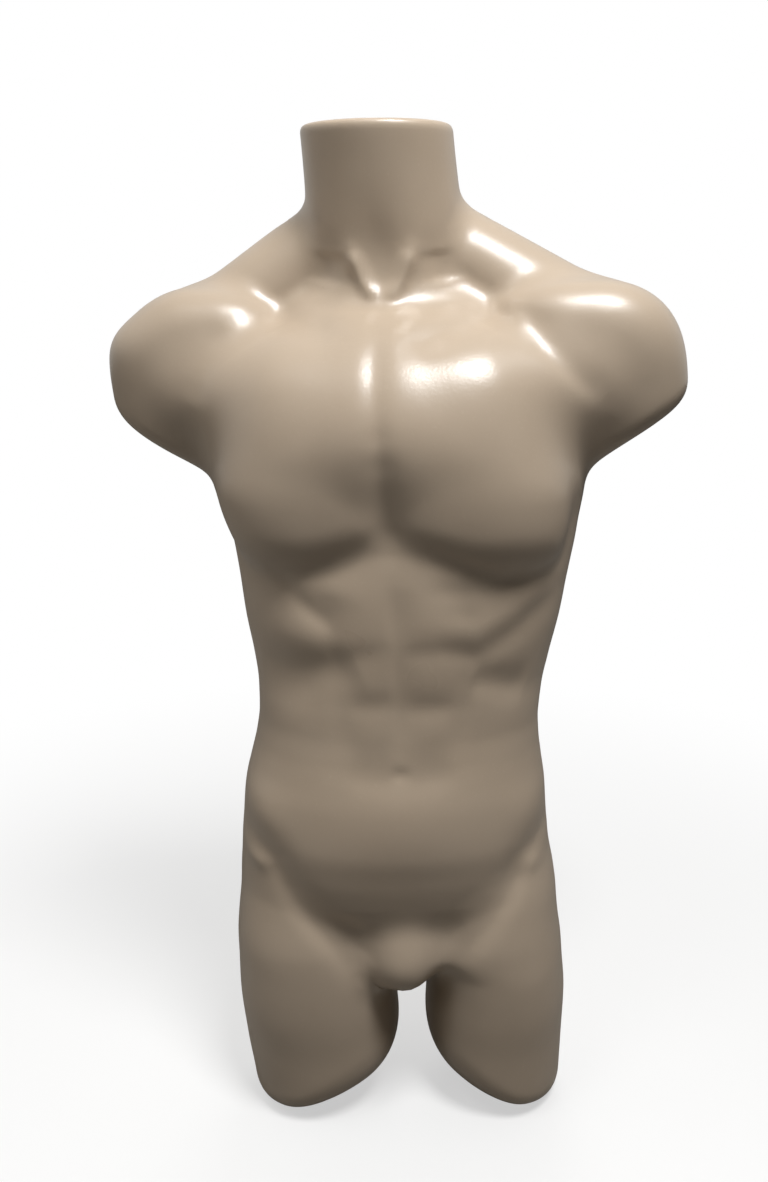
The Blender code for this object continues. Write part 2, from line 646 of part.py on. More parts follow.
# ---------------------------------------------------------------- skin
def stack(bm, stations, steps=20):
    """A loft through egg-shaped sections."""
    rings = []
    for z in np.linspace(stations[0][0], stations[-1][0], steps):
        centre_x, centre_y, half_width, front, back, _ = curve(np.array([z]), stations)[0]
        ring = bmesh.ops.create_circle(bm, segments=32, radius=1.0)["verts"]
        for vert in ring:
            depth = back if vert.co.y > 0 else front
            vert.co = Vector((centre_x + half_width * vert.co.x, centre_y + depth * vert.co.y, z))
        rings.append(ring)
    for pair in zip(rings, rings[1:]):
        edges = set()
        for ring in pair:
            members = set(ring)
            edges |= {e for v in ring for e in v.link_edges if set(e.verts) <= members}
        bmesh.ops.bridge_loops(bm, edges=list(edges))
    bm.faces.new(rings[0])
    bm.faces.new(rings[-1])


def balls(bm, centre, radii):
    x, y, z = centre
    for side in (1, -1) if x else (1,):
        place = Matrix.Translation((x * side, y, z)) @ Matrix.Diagonal((*radii, 1.0))
        bmesh.ops.create_uvsphere(bm, u_segments=24, v_segments=16, radius=1.0, matrix=place)


def blank():
    """The big masses as overlapping primitives."""
    bm = bmesh.new()
    stack(bm, TRUNK)
    stack(bm, NECK)
    for centre, radii in BLANK_BALLS:
        balls(bm, centre, radii)
    bmesh.ops.recalc_face_normals(bm, faces=bm.faces)
    places = from_square(np.array([vert.co[:] for vert in bm.verts]))
    for vert, place in zip(bm.verts, places):
        vert.co = place
    for shape in THIGHS.values():
        stack(bm, shape["stations"])
    bmesh.ops.recalc_face_normals(bm, faces=bm.faces)
    return to_mesh(bm, "blank")


def evaluated(part):
    depsgraph = bpy.context.evaluated_depsgraph_get()
    return bpy.data.meshes.new_from_object(part.evaluated_get(depsgraph))


def points_of(mesh):
    places = np.empty(len(mesh.vertices) * 3)
    mesh.vertices.foreach_get("co", places)
    return places.reshape(-1, 3)


def shaped(points, ends):
    """Points of the blank on the finished skin; ends are the vertex pairs of its edges."""
    total = len(points)
    count = np.bincount(ends.ravel(), minlength=total)[:, None]

    def smoothed(places):
        sums = [
            np.bincount(ends[:, 0], places[ends[:, 1], i], total)
            + np.bincount(ends[:, 1], places[ends[:, 0], i], total)
            for i in range(3)
        ]
        return np.stack(sums, 1) / count

    points = project(points, rounds=4, limit=0.012)
    for _ in range(SMOOTHING_ROUNDS):
        points = project(KEPT_SHARE * points + SMOOTHED_SHARE * smoothed(points), rounds=2)
    return relief(project(points, rounds=3)) - np.array(POLE_SEAT)


def figure():
    """The finished skin as one closed surface of triangles."""
    skin = cutter("figure_blank", blank())
    remesh = skin.modifiers.new("one_body", "REMESH")
    remesh.mode, remesh.voxel_size, remesh.adaptivity = "VOXEL", VOXEL, 0.0
    mesh = evaluated(skin)
    skin.modifiers.clear()

    ends = np.empty(len(mesh.edges) * 2, int)
    mesh.edges.foreach_get("vertices", ends)
    points = shaped(points_of(mesh), ends.reshape(-1, 2))
    mesh.vertices.foreach_set("co", points.ravel())
    mesh.update()
    skin.data = mesh

    bm = bmesh.new()
    bm.from_mesh(mesh)
    bmesh.ops.triangulate(bm, faces=bm.faces)
    bm.to_mesh(mesh)
    bm.free()
    decimate = skin.modifiers.new("fewer", "DECIMATE")
    decimate.ratio = SKIN_TRIANGLES / len(mesh.polygons)
    reduced = evaluated(skin)
    skin.modifiers.clear()
    skin.data = reduced
    return skin


def layer(name, skin, near, far):
    """The space between two depths under the skin, as a closed hollow mesh."""
    points = points_of(skin.data)
    count = len(points)
    normals = np.empty(count * 3)
    skin.data.vertex_normals.foreach_get("vector", normals)
    normals = normals.reshape(-1, 3)
    outer = [tuple(face.vertices) for face in skin.data.polygons]
    inner = [tuple(i + count for i in reversed(face)) for face in outer]
    both = np.concatenate([points - near * normals, points - far * normals])
    mesh = bpy.data.meshes.new(name)
    mesh.from_pydata(both.tolist(), [], outer + inner)
    mesh.update()
    return mesh


# ---------------------------------------------------------------- shells, plates and tape
def neck_end():
    """Centre of the neck's cut face and the direction it faces."""
    centre = Vector(from_square(np.array([[0.0, NECK_TOP_Y, NECK_TOP]]))[0]) - SEAT
    turn = math.radians(float(curve(np.array([NECK_TOP]), TWIST)[0]))
    axis = Vector((math.sin(turn) * NECK_FORWARD, -math.cos(turn) * NECK_FORWARD, NECK_UP))
    return centre, axis


def thigh_end(shape):
    """Centre of a thigh's closing plate and the direction it faces."""
    axis = Vector((shape["inward"] * CUT_INWARD, 0.0, -CUT_DOWN)).normalized()
    return Vector(shape["plate_at"]) - SEAT, axis


def shell_openings():
    centre, axis = neck_end()
    start, end = centre - axis * HOLE_IN, centre + axis * NECK_HOLE_OUT
    openings = [cutter("neck_hole", rod_mesh(start, end, NECK_PLATE_R + GAP))]
    for side, shape in THIGHS.items():
        centre, axis = thigh_end(shape)
        start, end = centre - axis * HOLE_IN, centre + axis * THIGH_HOLE_OUT
        hole = rod_mesh(start, end, THIGH_PLATE_R + GAP, THIGH_SIDES)
        openings.append(cutter(f"thigh_hole_{side}", hole))
    openings.append(upright_cutter("socket_hole", SOCKET_R + SHELL_CLEARANCE, SOCKET_SIDES))
    openings.append(cutter("block_room", centred_box(BLOCK, BLOCK_LOW, margin=GAP)))
    return openings


def shells(skin):
    openings = shell_openings()
    front = box_mesh((-FAR, -FAR, -FAR), (FAR, PARTING - GAP / 2, 2 * FAR))
    back = box_mesh((-FAR, PARTING + GAP / 2, -FAR), (FAR, FAR, 2 * FAR))
    halves = {
        "front_shell": cutter("front_half", front),
        "back_shell": cutter("back_half", back),
    }
    for name, half in halves.items():
        shell = put(name, layer(name, skin, 0.0, WALL), SKIN)
        boolean(shell, "INTERSECT", half)
        for opening in openings:
            boolean(shell, "DIFFERENCE", opening)
        round_off(shell, 50)


def neck_plate():
    centre, axis = neck_end()
    disc = rod_mesh(centre - axis * NECK_PLATE_T, centre, NECK_PLATE_R, sides=47)
    round_off(put("neck_plate", disc, SKIN))


def thigh_plates(skin):
    """Discs of the laminate itself, cut out at the thigh ends."""
    for side, shape in THIGHS.items():
        name = f"thigh_plate_{side}"
        centre, axis = thigh_end(shape)
        reach = axis * THIGH_DISC_REACH
        plate = put(name, layer(name, skin, 0.0, WALL), SKIN)
        disc = rod_mesh(centre - reach, centre + reach, THIGH_PLATE_R, THIGH_SIDES)
        boolean(plate, "INTERSECT", cutter(f"thigh_disc_{side}", disc))
        round_off(plate, 50)


def seam_tapes(skin):
    """Glass tape over the seam, inside the shells."""
    def from_seat(x):
        return x - (SEAT.x if abs(x) < FAR else 0)

    for name, ((low_x, low_z), (high_x, high_z)) in TAPES.items():
        tape = put(name, layer(name, skin, TAPE_DEPTH, TAPE_DEPTH + TAPE_THICK), GLASS)
        low = (from_seat(low_x), PARTING - TAPE_HALF, low_z - SEAT.z)
        high = (from_seat(high_x), PARTING + TAPE_HALF, high_z - SEAT.z)
        boolean(tape, "INTERSECT", cutter(name + "_length", box_mesh(low, high)))
        round_off(tape, 50)


# ---------------------------------------------------------------- stand fitting
def mount_block():
    block = put("mount_block", centred_box(BLOCK, BLOCK_LOW), PLY)
    bore = upright_cutter("block_bore", SOCKET_R + BLOCK_CLEARANCE, SOCKET_SIDES)
    boolean(block, "DIFFERENCE", bore)
    return block


def flange_plate():
    flange = put("flange_plate", centred_box(FLANGE, FLANGE_LOW), STEEL)
    bore = upright_cutter("flange_bore", SOCKET_R + GAP, SOCKET_SIDES)
    boolean(flange, "DIFFERENCE", bore)
    return flange


def flange_screw(number, x, y, block, flange):
    """One screw, with its hole in the flange and its pilot hole in the block."""
    hole_r = SCREW_R + GAP
    hole = upright_cutter(f"screw_hole_{number}", hole_r, SCREW_SIDES, x, y)
    boolean(flange, "DIFFERENCE", hole)
    pilot_low = FLANGE_LOW - SCREW_LENGTH
    pilot = upright_cutter(f"pilot_hole_{number}", hole_r, SCREW_SIDES, x, y, pilot_low)
    boolean(block, "DIFFERENCE", pilot)

    low, high = (x, y, HEAD_LOW - SCREW_LENGTH), (x, y, HEAD_LOW + SCREW_OVERLAP)
    screw = put(f"flange_screw_{number}", rod_mesh(low, high, SCREW_R, SCREW_SIDES), STEEL)
    head = rod_mesh(
        (x, y, HEAD_LOW), (x, y, HEAD_LOW + SCREW_HEAD_T),
        SCREW_HEAD_R, sides=20, radius_end=SCREW_HEAD_R * SCREW_HEAD_TAPER,
    )
    boolean(screw, "UNION", cutter(f"screw_head_{number}", head))
    round_off(screw)


def socket_tube():
    """A turned ring, with a side hole for the clamp screw."""
    outline = (
        (SOCKET_R, SOCKET_HIGH), (SOCKET_R, SOCKET_LOW), (BORE_R, SOCKET_LOW), (BORE_R, SOCKET_HIGH),
    )
    bm = bmesh.new()
    ring = [bm.verts.new((radius, 0, z)) for radius, z in outline]
    for start, end in zip(ring, ring[1:] + ring[:1]):
        bm.edges.new((start, end))
    tube = put("socket_tube", to_mesh(bm, "socket_tube"), STEEL)
    turned = tube.modifiers.new("turned", "SCREW")
    turned.steps = turned.render_steps = SOCKET_SIDES
    turned.use_merge_vertices = True
    turned.merge_threshold = 0.00001
    start, end = (0, 0, CLAMP_Z), (0, CLAMP_HOLE_END_Y, CLAMP_Z)
    hole = cutter("clamp_hole", rod_mesh(start, end, CLAMP_R + GAP, CLAMP_SIDES))
    boolean(tube, "DIFFERENCE", hole)


def pole_stop():
    """Cap over the tube, with a boss that reaches down to the pole seat."""
    low = SOCKET_HIGH + GAP
    disc = rod_mesh((0, 0, low), (0, 0, low + STOP_T), STOP_R, SOCKET_SIDES)
    stop = put("pole_stop", disc, STEEL)
    boss_end = (0, 0, SOCKET_HIGH + BOSS_OVERLAP)
    boss = rod_mesh((0, 0, 0), boss_end, BORE_R - BOSS_CLEARANCE, sides=37)
    boolean(stop, "UNION", cutter("stop_boss", boss))
    round_off(stop)


def clamp_nut():
    hexagon = rod_mesh(
        (0, NUT_Y, CLAMP_Z), (0, NUT_Y + NUT_T, CLAMP_Z), NUT_AF / math.sqrt(3), sides=6
    )
    nut = put("clamp_nut", hexagon, STEEL)
    start, end = (0, NUT_Y - NUT_CUT_BEFORE, CLAMP_Z), (0, NUT_Y + NUT_CUT_AFTER, CLAMP_Z)
    bore = cutter("nut_bore", rod_mesh(start, end, CLAMP_R + GAP, CLAMP_SIDES))
    boolean(nut, "DIFFERENCE", bore)


def wing_mesh(side):
    """Flat oval blade to one side of the hub."""
    bm = bmesh.new()
    blade = bmesh.ops.create_cone(
        bm, cap_ends=True, segments=24, radius1=0.5, radius2=0.5, depth=1.0
    )["verts"]
    bmesh.ops.scale(bm, verts=blade, vec=(WING_SPAN / 2, WING_HIGH, WING_T))
    place = (side * WING_SPAN / 4, HUB_T * WING_PLACE, 0)
    bmesh.ops.translate(bm, verts=blade, vec=place)
    return to_mesh(bm, "blade")


def clamp_screw():
    """Thumb screw pointing at the pole from the back, with its winged head."""
    clamp_line = empty("clamp_line", (0, CLAMP_TIP_Y, CLAMP_Z))
    rod = rod_mesh((0, 0, 0), (0, CLAMP_LENGTH, 0), CLAMP_R, CLAMP_SIDES)
    shank = put("clamp_screw_shank", rod, STEEL)
    shank.parent = clamp_line
    round_off(shank)

    wing_line = empty("wing_line", (0, CLAMP_LENGTH + GAP, 0), parent=clamp_line)
    hub = rod_mesh((0, 0, 0), (0, HUB_T, 0), HUB_R, sides=24, radius_end=HUB_R * HUB_TAPER)
    wings = put("clamp_screw_wings", hub, DARK)
    wings.parent = wing_line
    for name, side in (("wing_right", -1), ("wing_left", 1)):
        blade = cutter(name, wing_mesh(side))
        blade.parent = wing_line
        boolean(wings, "UNION", blade)
    round_off(wings)


def stand_fitting():
    block, flange = mount_block(), flange_plate()
    places = [(x * SCREW_AT[0], y * SCREW_AT[1]) for x in (-1, 1) for y in (-1, 1)]
    for number, (x, y) in enumerate(places, 1):
        flange_screw(number, x, y, block, flange)
    socket_tube()
    pole_stop()
    clamp_nut()
    clamp_screw()


def main():
    skin = figure()
    shells(skin)
    neck_plate()
    thigh_plates(skin)
    seam_tapes(skin)
    stand_fitting()


main()
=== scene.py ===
"""Looks of a display torso: a hollow two-half shell in glossy sprayed beige, with its stand fitting.

The figure stands along +Z and faces -Y, with its own left at +X. Its tables are in figure
coordinates, z from the lowest part of the thighs; the meshes are moved so that the seat of the
stand's pole is the origin. Lengths are in metres.
"""

import math

import bmesh
import bpy
import numpy as np
from mathutils import Matrix, Vector
from mathutils.bvhtree import BVHTree


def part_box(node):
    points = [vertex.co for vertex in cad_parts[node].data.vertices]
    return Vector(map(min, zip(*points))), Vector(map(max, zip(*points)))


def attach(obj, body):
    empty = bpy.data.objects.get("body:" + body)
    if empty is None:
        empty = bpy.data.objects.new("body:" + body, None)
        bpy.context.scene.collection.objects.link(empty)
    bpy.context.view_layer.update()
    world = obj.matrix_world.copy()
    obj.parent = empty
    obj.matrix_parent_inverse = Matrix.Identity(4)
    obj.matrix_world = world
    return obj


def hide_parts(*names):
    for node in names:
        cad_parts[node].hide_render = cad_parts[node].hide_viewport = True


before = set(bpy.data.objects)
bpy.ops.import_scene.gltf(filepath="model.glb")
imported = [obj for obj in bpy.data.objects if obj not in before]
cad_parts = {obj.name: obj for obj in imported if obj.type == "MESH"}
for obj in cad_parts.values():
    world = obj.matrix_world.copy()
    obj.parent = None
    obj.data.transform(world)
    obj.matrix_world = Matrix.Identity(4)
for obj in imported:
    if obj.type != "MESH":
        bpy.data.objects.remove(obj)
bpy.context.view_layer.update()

# ================================================================ driving dimensions
POLE_SEAT = np.array([0.017, 0.012, 0.215])  # in figure coordinates
PARTING_Y = 0.005 - POLE_SEAT[1]  # plane between the front and back shells
SEAM = 0.00005
WALL = 0.004
VOXEL = 0.0034
INNER_VOXEL = 0.0070

NECK_TOP = 0.909
NECK_TOP_Y = -0.010
NECK_FORWARD, NECK_UP = np.sin(np.radians(5.0)), np.cos(np.radians(5.0))  # normal of the neck cut
THIGH_INWARD, THIGH_DOWN = 0.262, 0.965  # normal of the thigh cuts

NECK_PLATE_R, THIGH_PLATE_R = 0.0370, 0.0340
SOCKET_R, BORE_R = 0.0125, 0.01025
SOCKET_GAP = 0.0008
CLAMP_HOLE_R = 0.0033

# stance: z, then sideways shift / turn about Z in degrees / rise per metre of x
SWAY = [(-0.02, 0.004), (0.20, 0.002), (0.32, 0.000), (0.40, 0.003), (0.46, 0.005), (0.56, 0.006),
        (0.62, 0.001), (0.70, -0.004), (0.80, -0.008), (0.853, -0.012), (0.908, -0.0165)]
TWIST = [(-0.02, 3.0), (0.25, 3.0), (0.42, 0.0), (0.60, -6.0), (0.78, -7.0), (0.91, -5.0)]
TILT = [(-0.02, 0.0), (0.50, 0.0), (0.66, 0.024), (0.80, 0.014), (0.86, 0.0)]

# egg-shaped sections: z, centre x, centre y, half width, front depth, back depth, power
TRUNK = [
    (0.155, 0.012, 0.01, 0.060, 0.040, 0.060, 2.0),
    (0.175, 0.008, 0.01, 0.090, 0.060, 0.085, 2.0),
    (0.200, 0, 0.010, 0.1200, 0.0800, 0.100, 2.1),
    (0.240, 0, 0.005, 0.1450, 0.0970, 0.102, 2.2),
    (0.270, 0, 0.005, 0.1490, 0.1050, 0.097, 2.25),
    (0.300, 0, 0.005, 0.1465, 0.1090, 0.087, 2.3),
    (0.335, 0, 0.005, 0.1430, 0.1070, 0.074, 2.3),
    (0.360, 0, 0.005, 0.1380, 0.1045, 0.066, 2.25),
    (0.382, 0, 0.005, 0.1338, 0.1025, 0.061, 2.2),
    (0.405, 0, 0.005, 0.1316, 0.1012, 0.059, 2.15),
    (0.430, 0, 0.005, 0.1326, 0.1015, 0.061, 2.15),
    (0.460, 0, 0.005, 0.1370, 0.1042, 0.068, 2.15),
    (0.500, 0, 0.005, 0.1445, 0.1080, 0.078, 2.15),
    (0.540, 0, 0.005, 0.1500, 0.1090, 0.087, 2.15),
    (0.580, 0, 0.005, 0.1570, 0.1070, 0.095, 2.15),
    (0.620, 0, 0.005, 0.1660, 0.1050, 0.102, 2.15),
    (0.660, 0, 0.005, 0.1680, 0.1020, 0.106, 2.15),
    (0.700, 0, 0.010, 0.1620, 0.0960, 0.100, 2.1),
    (0.740, 0, 0.015, 0.1400, 0.0800, 0.085, 2.0),
    (0.770, 0, 0.018, 0.1050, 0.0600, 0.068, 2.0),
    (0.800, 0, 0.020, 0.0600, 0.0450, 0.045, 2.0),
]
NECK = [
    (0.740, 0, 0.020, 0.0700, 0.062, 0.062, 2.0),
    (0.800, 0, 0.014, 0.0680, 0.060, 0.060, 2.0),
    (0.840, 0, 0.007, 0.0665, 0.060, 0.060, 2.0),
    (0.870, 0, 0.000, 0.0640, 0.060, 0.060, 2.0),
    (0.910, 0, -0.010, 0.0625, 0.060, 0.060, 2.0),
    (0.960, 0, -0.018, 0.0625, 0.060, 0.060, 2.0),
]
THIGH_RIGHT = [
    (-0.070, -0.0640, 0.000, 0.0720, 0.072, 0.076, 2.1),
    (0.000, -0.0655, 0.000, 0.0780, 0.076, 0.080, 2.1),
    (0.060, -0.0725, 0.000, 0.0785, 0.080, 0.084, 2.1),
    (0.110, -0.0770, 0.000, 0.0785, 0.086, 0.090, 2.15),
    (0.150, -0.0785, 0.001, 0.0775, 0.089, 0.094, 2.15),
    (0.180, -0.0800, 0.002, 0.0760, 0.090, 0.095, 2.15),
    (0.220, -0.0800, 0.004, 0.0720, 0.086, 0.092, 2.1),
    (0.270, -0.0800, 0.006, 0.0650, 0.080, 0.080, 2.0),
]
THIGH_LEFT = [
    (-0.070, 0.1010, 0.004, 0.0670, 0.072, 0.076, 2.1),
    (0.000, 0.1005, 0.004, 0.0705, 0.076, 0.080, 2.1),
    (0.060, 0.1015, 0.004, 0.0700, 0.080, 0.084, 2.1),
    (0.110, 0.1025, 0.004, 0.0690, 0.086, 0.090, 2.15),
    (0.150, 0.1005, 0.004, 0.0670, 0.089, 0.094, 2.15),
    (0.180, 0.0900, 0.004, 0.0740, 0.090, 0.095, 2.15),
    (0.220, 0.0850, 0.004, 0.0740, 0.086, 0.092, 2.1),
    (0.270, 0.0820, 0.006, 0.0670, 0.080, 0.080, 2.0),
]
# sign of x, sections, (x, z) on the cut, span of -sign * x where its rim softens, plate centre
THIGHS = {
    "right": (-1, THIGH_RIGHT, (-0.125, -0.012), (-0.11, -0.03), (-0.090, 0.000, -0.0025)),
    "left": (1, THIGH_LEFT, (0.145, -0.008), (-0.13, -0.06), (0.113, 0.004, 0.0006)),
}
# centre and radii of one side of the seat
SEAT_BALL = ((0.068, 0.045, 0.215), (0.082, 0.082, 0.088))
# balls that fill out the blank, each mirrored if it is off the middle: centre, radii
BLANK_BALLS = [
    ((0.165, 0.010, 0.703), (0.088, 0.066, 0.087)),  # arm stub
    ((0.100, 0.000, 0.700), (0.080, 0.080, 0.080)),  # armpit
    ((0.115, 0.016, 0.775), (0.075, 0.040, 0.045)),  # shoulder slope
    SEAT_BALL,
    ((0.000, -0.080, 0.200), (0.029, 0.042, 0.036)),  # bulge
]

# ================================================================ muscles drawn on the skin
# lines: points (x, z), height in mm, widths in mm to the left and right of the direction of
# travel, with x to the right and z up; tables for the figure's right side are in -x
LINES_BOTH = [
    ([(0.005, 0.770), (0.015, 0.785), (0.025, 0.810)], 4.2, 6, 6),  # neck cord
    ([(0.050, 0.785), (0.045, 0.810)], -3.0, 13, 12),  # hollow outside the cord
    ([(0.060, 0.545), (0.055, 0.470), (0.050, 0.385)], -1.2, 10, 13),  # edge of the abdominal
]
LINES_RIGHT = [
    ([(0.020, 0.755), (0.070, 0.770), (0.105, 0.775)], 1.7, 17, 12),  # collar bone
    ([(0.035, 0.745), (0.080, 0.755), (0.105, 0.760)], -2.4, 9, 13),
    ([(0.130, 0.755), (0.140, 0.735), (0.160, 0.690)], -1.8, 13, 10),  # chest to shoulder
    ([(0.100, 0.550), (0.080, 0.525), (0.055, 0.505)], -1.6, 8, 9),  # ribs
    ([(0.125, 0.460), (0.085, 0.460), (0.035, 0.475)], -4.2, 23, 19),
    ([(0.005, 0.490), (0.045, 0.480)], -0.7, 10, 10),
    ([(0.005, 0.440), (0.045, 0.435)], -0.7, 10, 10),
    ([(0.145, 0.305), (0.115, 0.280), (0.095, 0.240), (0.060, 0.195), (0.045, 0.165)],
     -4.2, 11, 20),  # groin
]
LINES_LEFT = [
    ([(0.015, 0.750), (0.070, 0.765), (0.115, 0.775)], 1.5, 17, 12),  # collar bone
    ([(0.025, 0.735), (0.065, 0.750), (0.105, 0.760)], -2.8, 8, 13),
    ([(0.115, 0.765), (0.130, 0.735), (0.155, 0.710), (0.175, 0.690)],
     -2.4, 12, 9),  # chest to shoulder
    ([(0.030, 0.540), (0.085, 0.540), (0.110, 0.555)], -1.2, 9, 9),  # ribs
    ([(0.030, 0.510), (0.065, 0.505), (0.095, 0.520), (0.130, 0.545)], 1.6, 11, 12),
    ([(0.025, 0.490), (0.065, 0.480), (0.100, 0.500), (0.135, 0.530)], -1.8, 11, 11),
    ([(0.060, 0.460), (0.110, 0.445)], -3.5, 17, 14),
    ([(0.005, 0.485), (0.030, 0.485)], -0.8, 10, 10),
    ([(0.005, 0.435), (0.045, 0.435)], -0.9, 10, 10),
    ([(0.145, 0.305), (0.115, 0.275), (0.095, 0.240), (0.060, 0.195), (0.050, 0.170)],
     -4.2, 11, 20),  # groin
]
LINES_MIDDLE = [
    ([(0.0, 0.740), (0.0, 0.650)], -2.4, 9, 10),  # breastbone
    ([(0.0, 0.660), (0.0, 0.575)], -3.0, 13, 13),
    ([(0.0, 0.545), (0.0, 0.400)], -2.2, 15, 8),
    ([(-0.050, 0.375), (0.000, 0.370), (0.050, 0.375)], -2.0, 20, 14),  # waist crease
]
LINES_BACK = [
    ([(0.055, 0.745), (0.055, 0.690), (0.060, 0.640)], 3.5, 12, 12),  # shoulder blade
    ([(0.060, 0.750), (0.130, 0.765)], 3.5, 8, 10),
    ([(0.065, 0.630), (0.095, 0.620), (0.125, 0.640)], -3.0, 10, 9),
    ([(0.030, 0.560), (0.030, 0.400), (0.030, 0.330)], 3.5, 15, 15),  # beside the spine
    ([(0.140, 0.650), (0.120, 0.560), (0.085, 0.480)], 2.5, 14, 14),
    ([(0.140, 0.750), (0.150, 0.715), (0.170, 0.680)], -2.5, 10, 10),
    ([(0.020, 0.140), (0.060, 0.130), (0.100, 0.135), (0.130, 0.150)],
     -5.0, 8, 7),  # fold under the seat
]
LINES_SPINE = [
    ([(0.0, 0.760), (0.0, 0.330)], -4.5, 11, 11),
    ([(0.0, 0.290), (0.0, 0.165)], -7.0, 7, 7),
]
# soft masses: x, z, half width, half height, turn in degrees, height in mm
MASSES_BOTH = [
    (0.025, 0.510, 0.018, 0.028, 0, 1.0),
    (0.025, 0.460, 0.018, 0.018, 0, 1.0),
    (0.025, 0.410, 0.018, 0.020, 0, 1.0),
]
MASSES_RIGHT = [
    (0.085, 0.500, 0.030, 0.020, 20, 2.6),
    (0.060, 0.540, 0.030, 0.013, 10, 1.6),
    (0.100, 0.410, 0.030, 0.030, 0, 2.0),
    (0.120, 0.325, 0.022, 0.020, 0, 2.8),
    (0.130, 0.275, 0.010, 0.009, 0, 2.2),
]
MASSES_LEFT = [
    (0.110, 0.410, 0.030, 0.032, 0, 1.5),
    (0.115, 0.325, 0.022, 0.020, 0, 2.0),
    (0.120, 0.270, 0.011, 0.011, 0, 2.8),
]
MASSES_MIDDLE = [
    (0.0, 0.662, 0.065, 0.048, 0, 6.0),
    (0.005, 0.330, 0.070, 0.042, 0, 5.5),
    (0.0, 0.375, 0.007, 0.006, 0, -1.5),  # navel
    (0.0, 0.805, 0.018, 0.030, 0, -4.5),  # throat
]
MASSES_BACK = [
    (0.090, 0.640, 0.022, 0.020, 0, 3.5),
    (0.105, 0.700, 0.030, 0.030, 0, 2.5),
    (0.040, 0.320, 0.010, 0.010, 0, -2.5),
    (0.105, 0.240, 0.026, 0.034, 0, -3.0),
]


# ================================================================ curves and blends
def curve(z, stations):
    """Smooth curve through (z, value, ...) stations, with flat slopes at turning points."""
    stations = np.asarray(stations, float)
    heights, values = stations[:, 0], stations[:, 1:]
    gap = np.diff(heights)[:, None]
    rise = np.diff(values, axis=0) / gap
    slope = np.zeros_like(values)
    weight, next_weight = 2 * gap[1:] + gap[:-1], gap[1:] + 2 * gap[:-1]
    with np.errstate(divide="ignore", invalid="ignore"):
        harmonic = (weight + next_weight) / (weight / rise[:-1] + next_weight / rise[1:])
    slope[1:-1] = np.where(rise[:-1] * rise[1:] > 0, harmonic, 0.0)
    slope[0], slope[-1] = rise[0], rise[-1]
    z = np.clip(z, heights[0], heights[-1])
    i = np.clip(np.searchsorted(heights, z, side="right") - 1, 0, len(heights) - 2)
    part = (z - heights[i])[:, None] / gap[i]
    out = (
        (2 * part**3 - 3 * part**2 + 1) * values[i]
        + (part**3 - 2 * part**2 + part) * gap[i] * slope[i]
        + (-2 * part**3 + 3 * part**2) * values[i + 1]
        + (part**3 - part**2) * gap[i] * slope[i + 1]
    )
    return out if out.shape[1] > 1 else out[:, 0]


def smin(one, other, blend):
    """Smooth minimum: joins two distance fields."""
    share = np.clip(0.5 + 0.5 * (other - one) / blend, 0.0, 1.0)
    return other + (one - other) * share - blend * share * (1 - share)


def smax(one, other, blend):
    """Smooth maximum: cuts one distance field by another."""
    return -smin(-one, -other, blend)


def step(value, start, end):
    part = np.clip((value - start) / (end - start), 0.0, 1.0)
    return part * part * (3 - 2 * part)


def straighten(points):
    """Points of the posed figure, taken to the straight, symmetric stance."""
    x, y, z = points[:, 0], points[:, 1], points[:, 2]
    level = z - curve(z, TILT) * x
    angle = np.radians(curve(level, TWIST))
    x = x - curve(level, SWAY)
    cos, sin = np.cos(angle), np.sin(angle)
    return np.stack([cos * x + sin * y, -sin * x + cos * y, level], 1)


def pose(straight):
    """Points of the straight stance, taken to the posed figure."""
    x, y, z = straight[:, 0], straight[:, 1], straight[:, 2]
    angle = np.radians(curve(z, TWIST))
    cos, sin = np.cos(angle), np.sin(angle)
    posed_x = cos * x - sin * y + curve(z, SWAY)
    return np.stack([posed_x, sin * x + cos * y, z + curve(z, TILT) * posed_x], 1)


# ================================================================ distance fields of the solids
def ellipsoid(points, centre, radii):
    away = points - np.asarray(centre)
    radii = np.asarray(radii)
    size = np.sqrt(((away / radii) ** 2).sum(1)) + 1e-9
    slope = np.sqrt(((away / radii**2) ** 2).sum(1)) + 1e-9
    return size * (size - 1) / slope


def pillow(points, centre, radii, power):
    """Like an ellipsoid with fuller corners."""
    away = np.abs(points - np.asarray(centre)) / np.asarray(radii) + 1e-6
    size = (away**power).sum(1) ** (1 / power)
    slope = np.linalg.norm((away / size[:, None]) ** (power - 1) / np.asarray(radii), axis=1)
    return (size - 1) / slope


def capsule(points, start, end, radius, end_radius):
    start, end = np.asarray(start, float), np.asarray(end, float)
    run = end - start
    part = np.clip(((points - start) @ run) / (run @ run), 0, 1)
    away = np.linalg.norm(points - start - part[:, None] * run, axis=1)
    return away - (radius + (end_radius - radius) * part)


def section(points, stations):
    """Radial distance to a stack of egg-shaped sections."""
    z = points[:, 2]
    centre_x, centre_y, half_width, front, back, power = curve(z, stations).T
    x, y = points[:, 0] - centre_x, points[:, 1] - centre_y
    depth = np.where(y < 0, front, back)
    size = (np.abs(x / half_width) ** power + np.abs(y / depth) ** power) ** (1 / power) + 1e-6
    radial = np.sqrt(x * x + y * y + 1e-10) * (1 - 1 / size)
    return smax(radial, np.maximum(stations[0][0] - z, z - stations[-1][0]), blend=0.03)


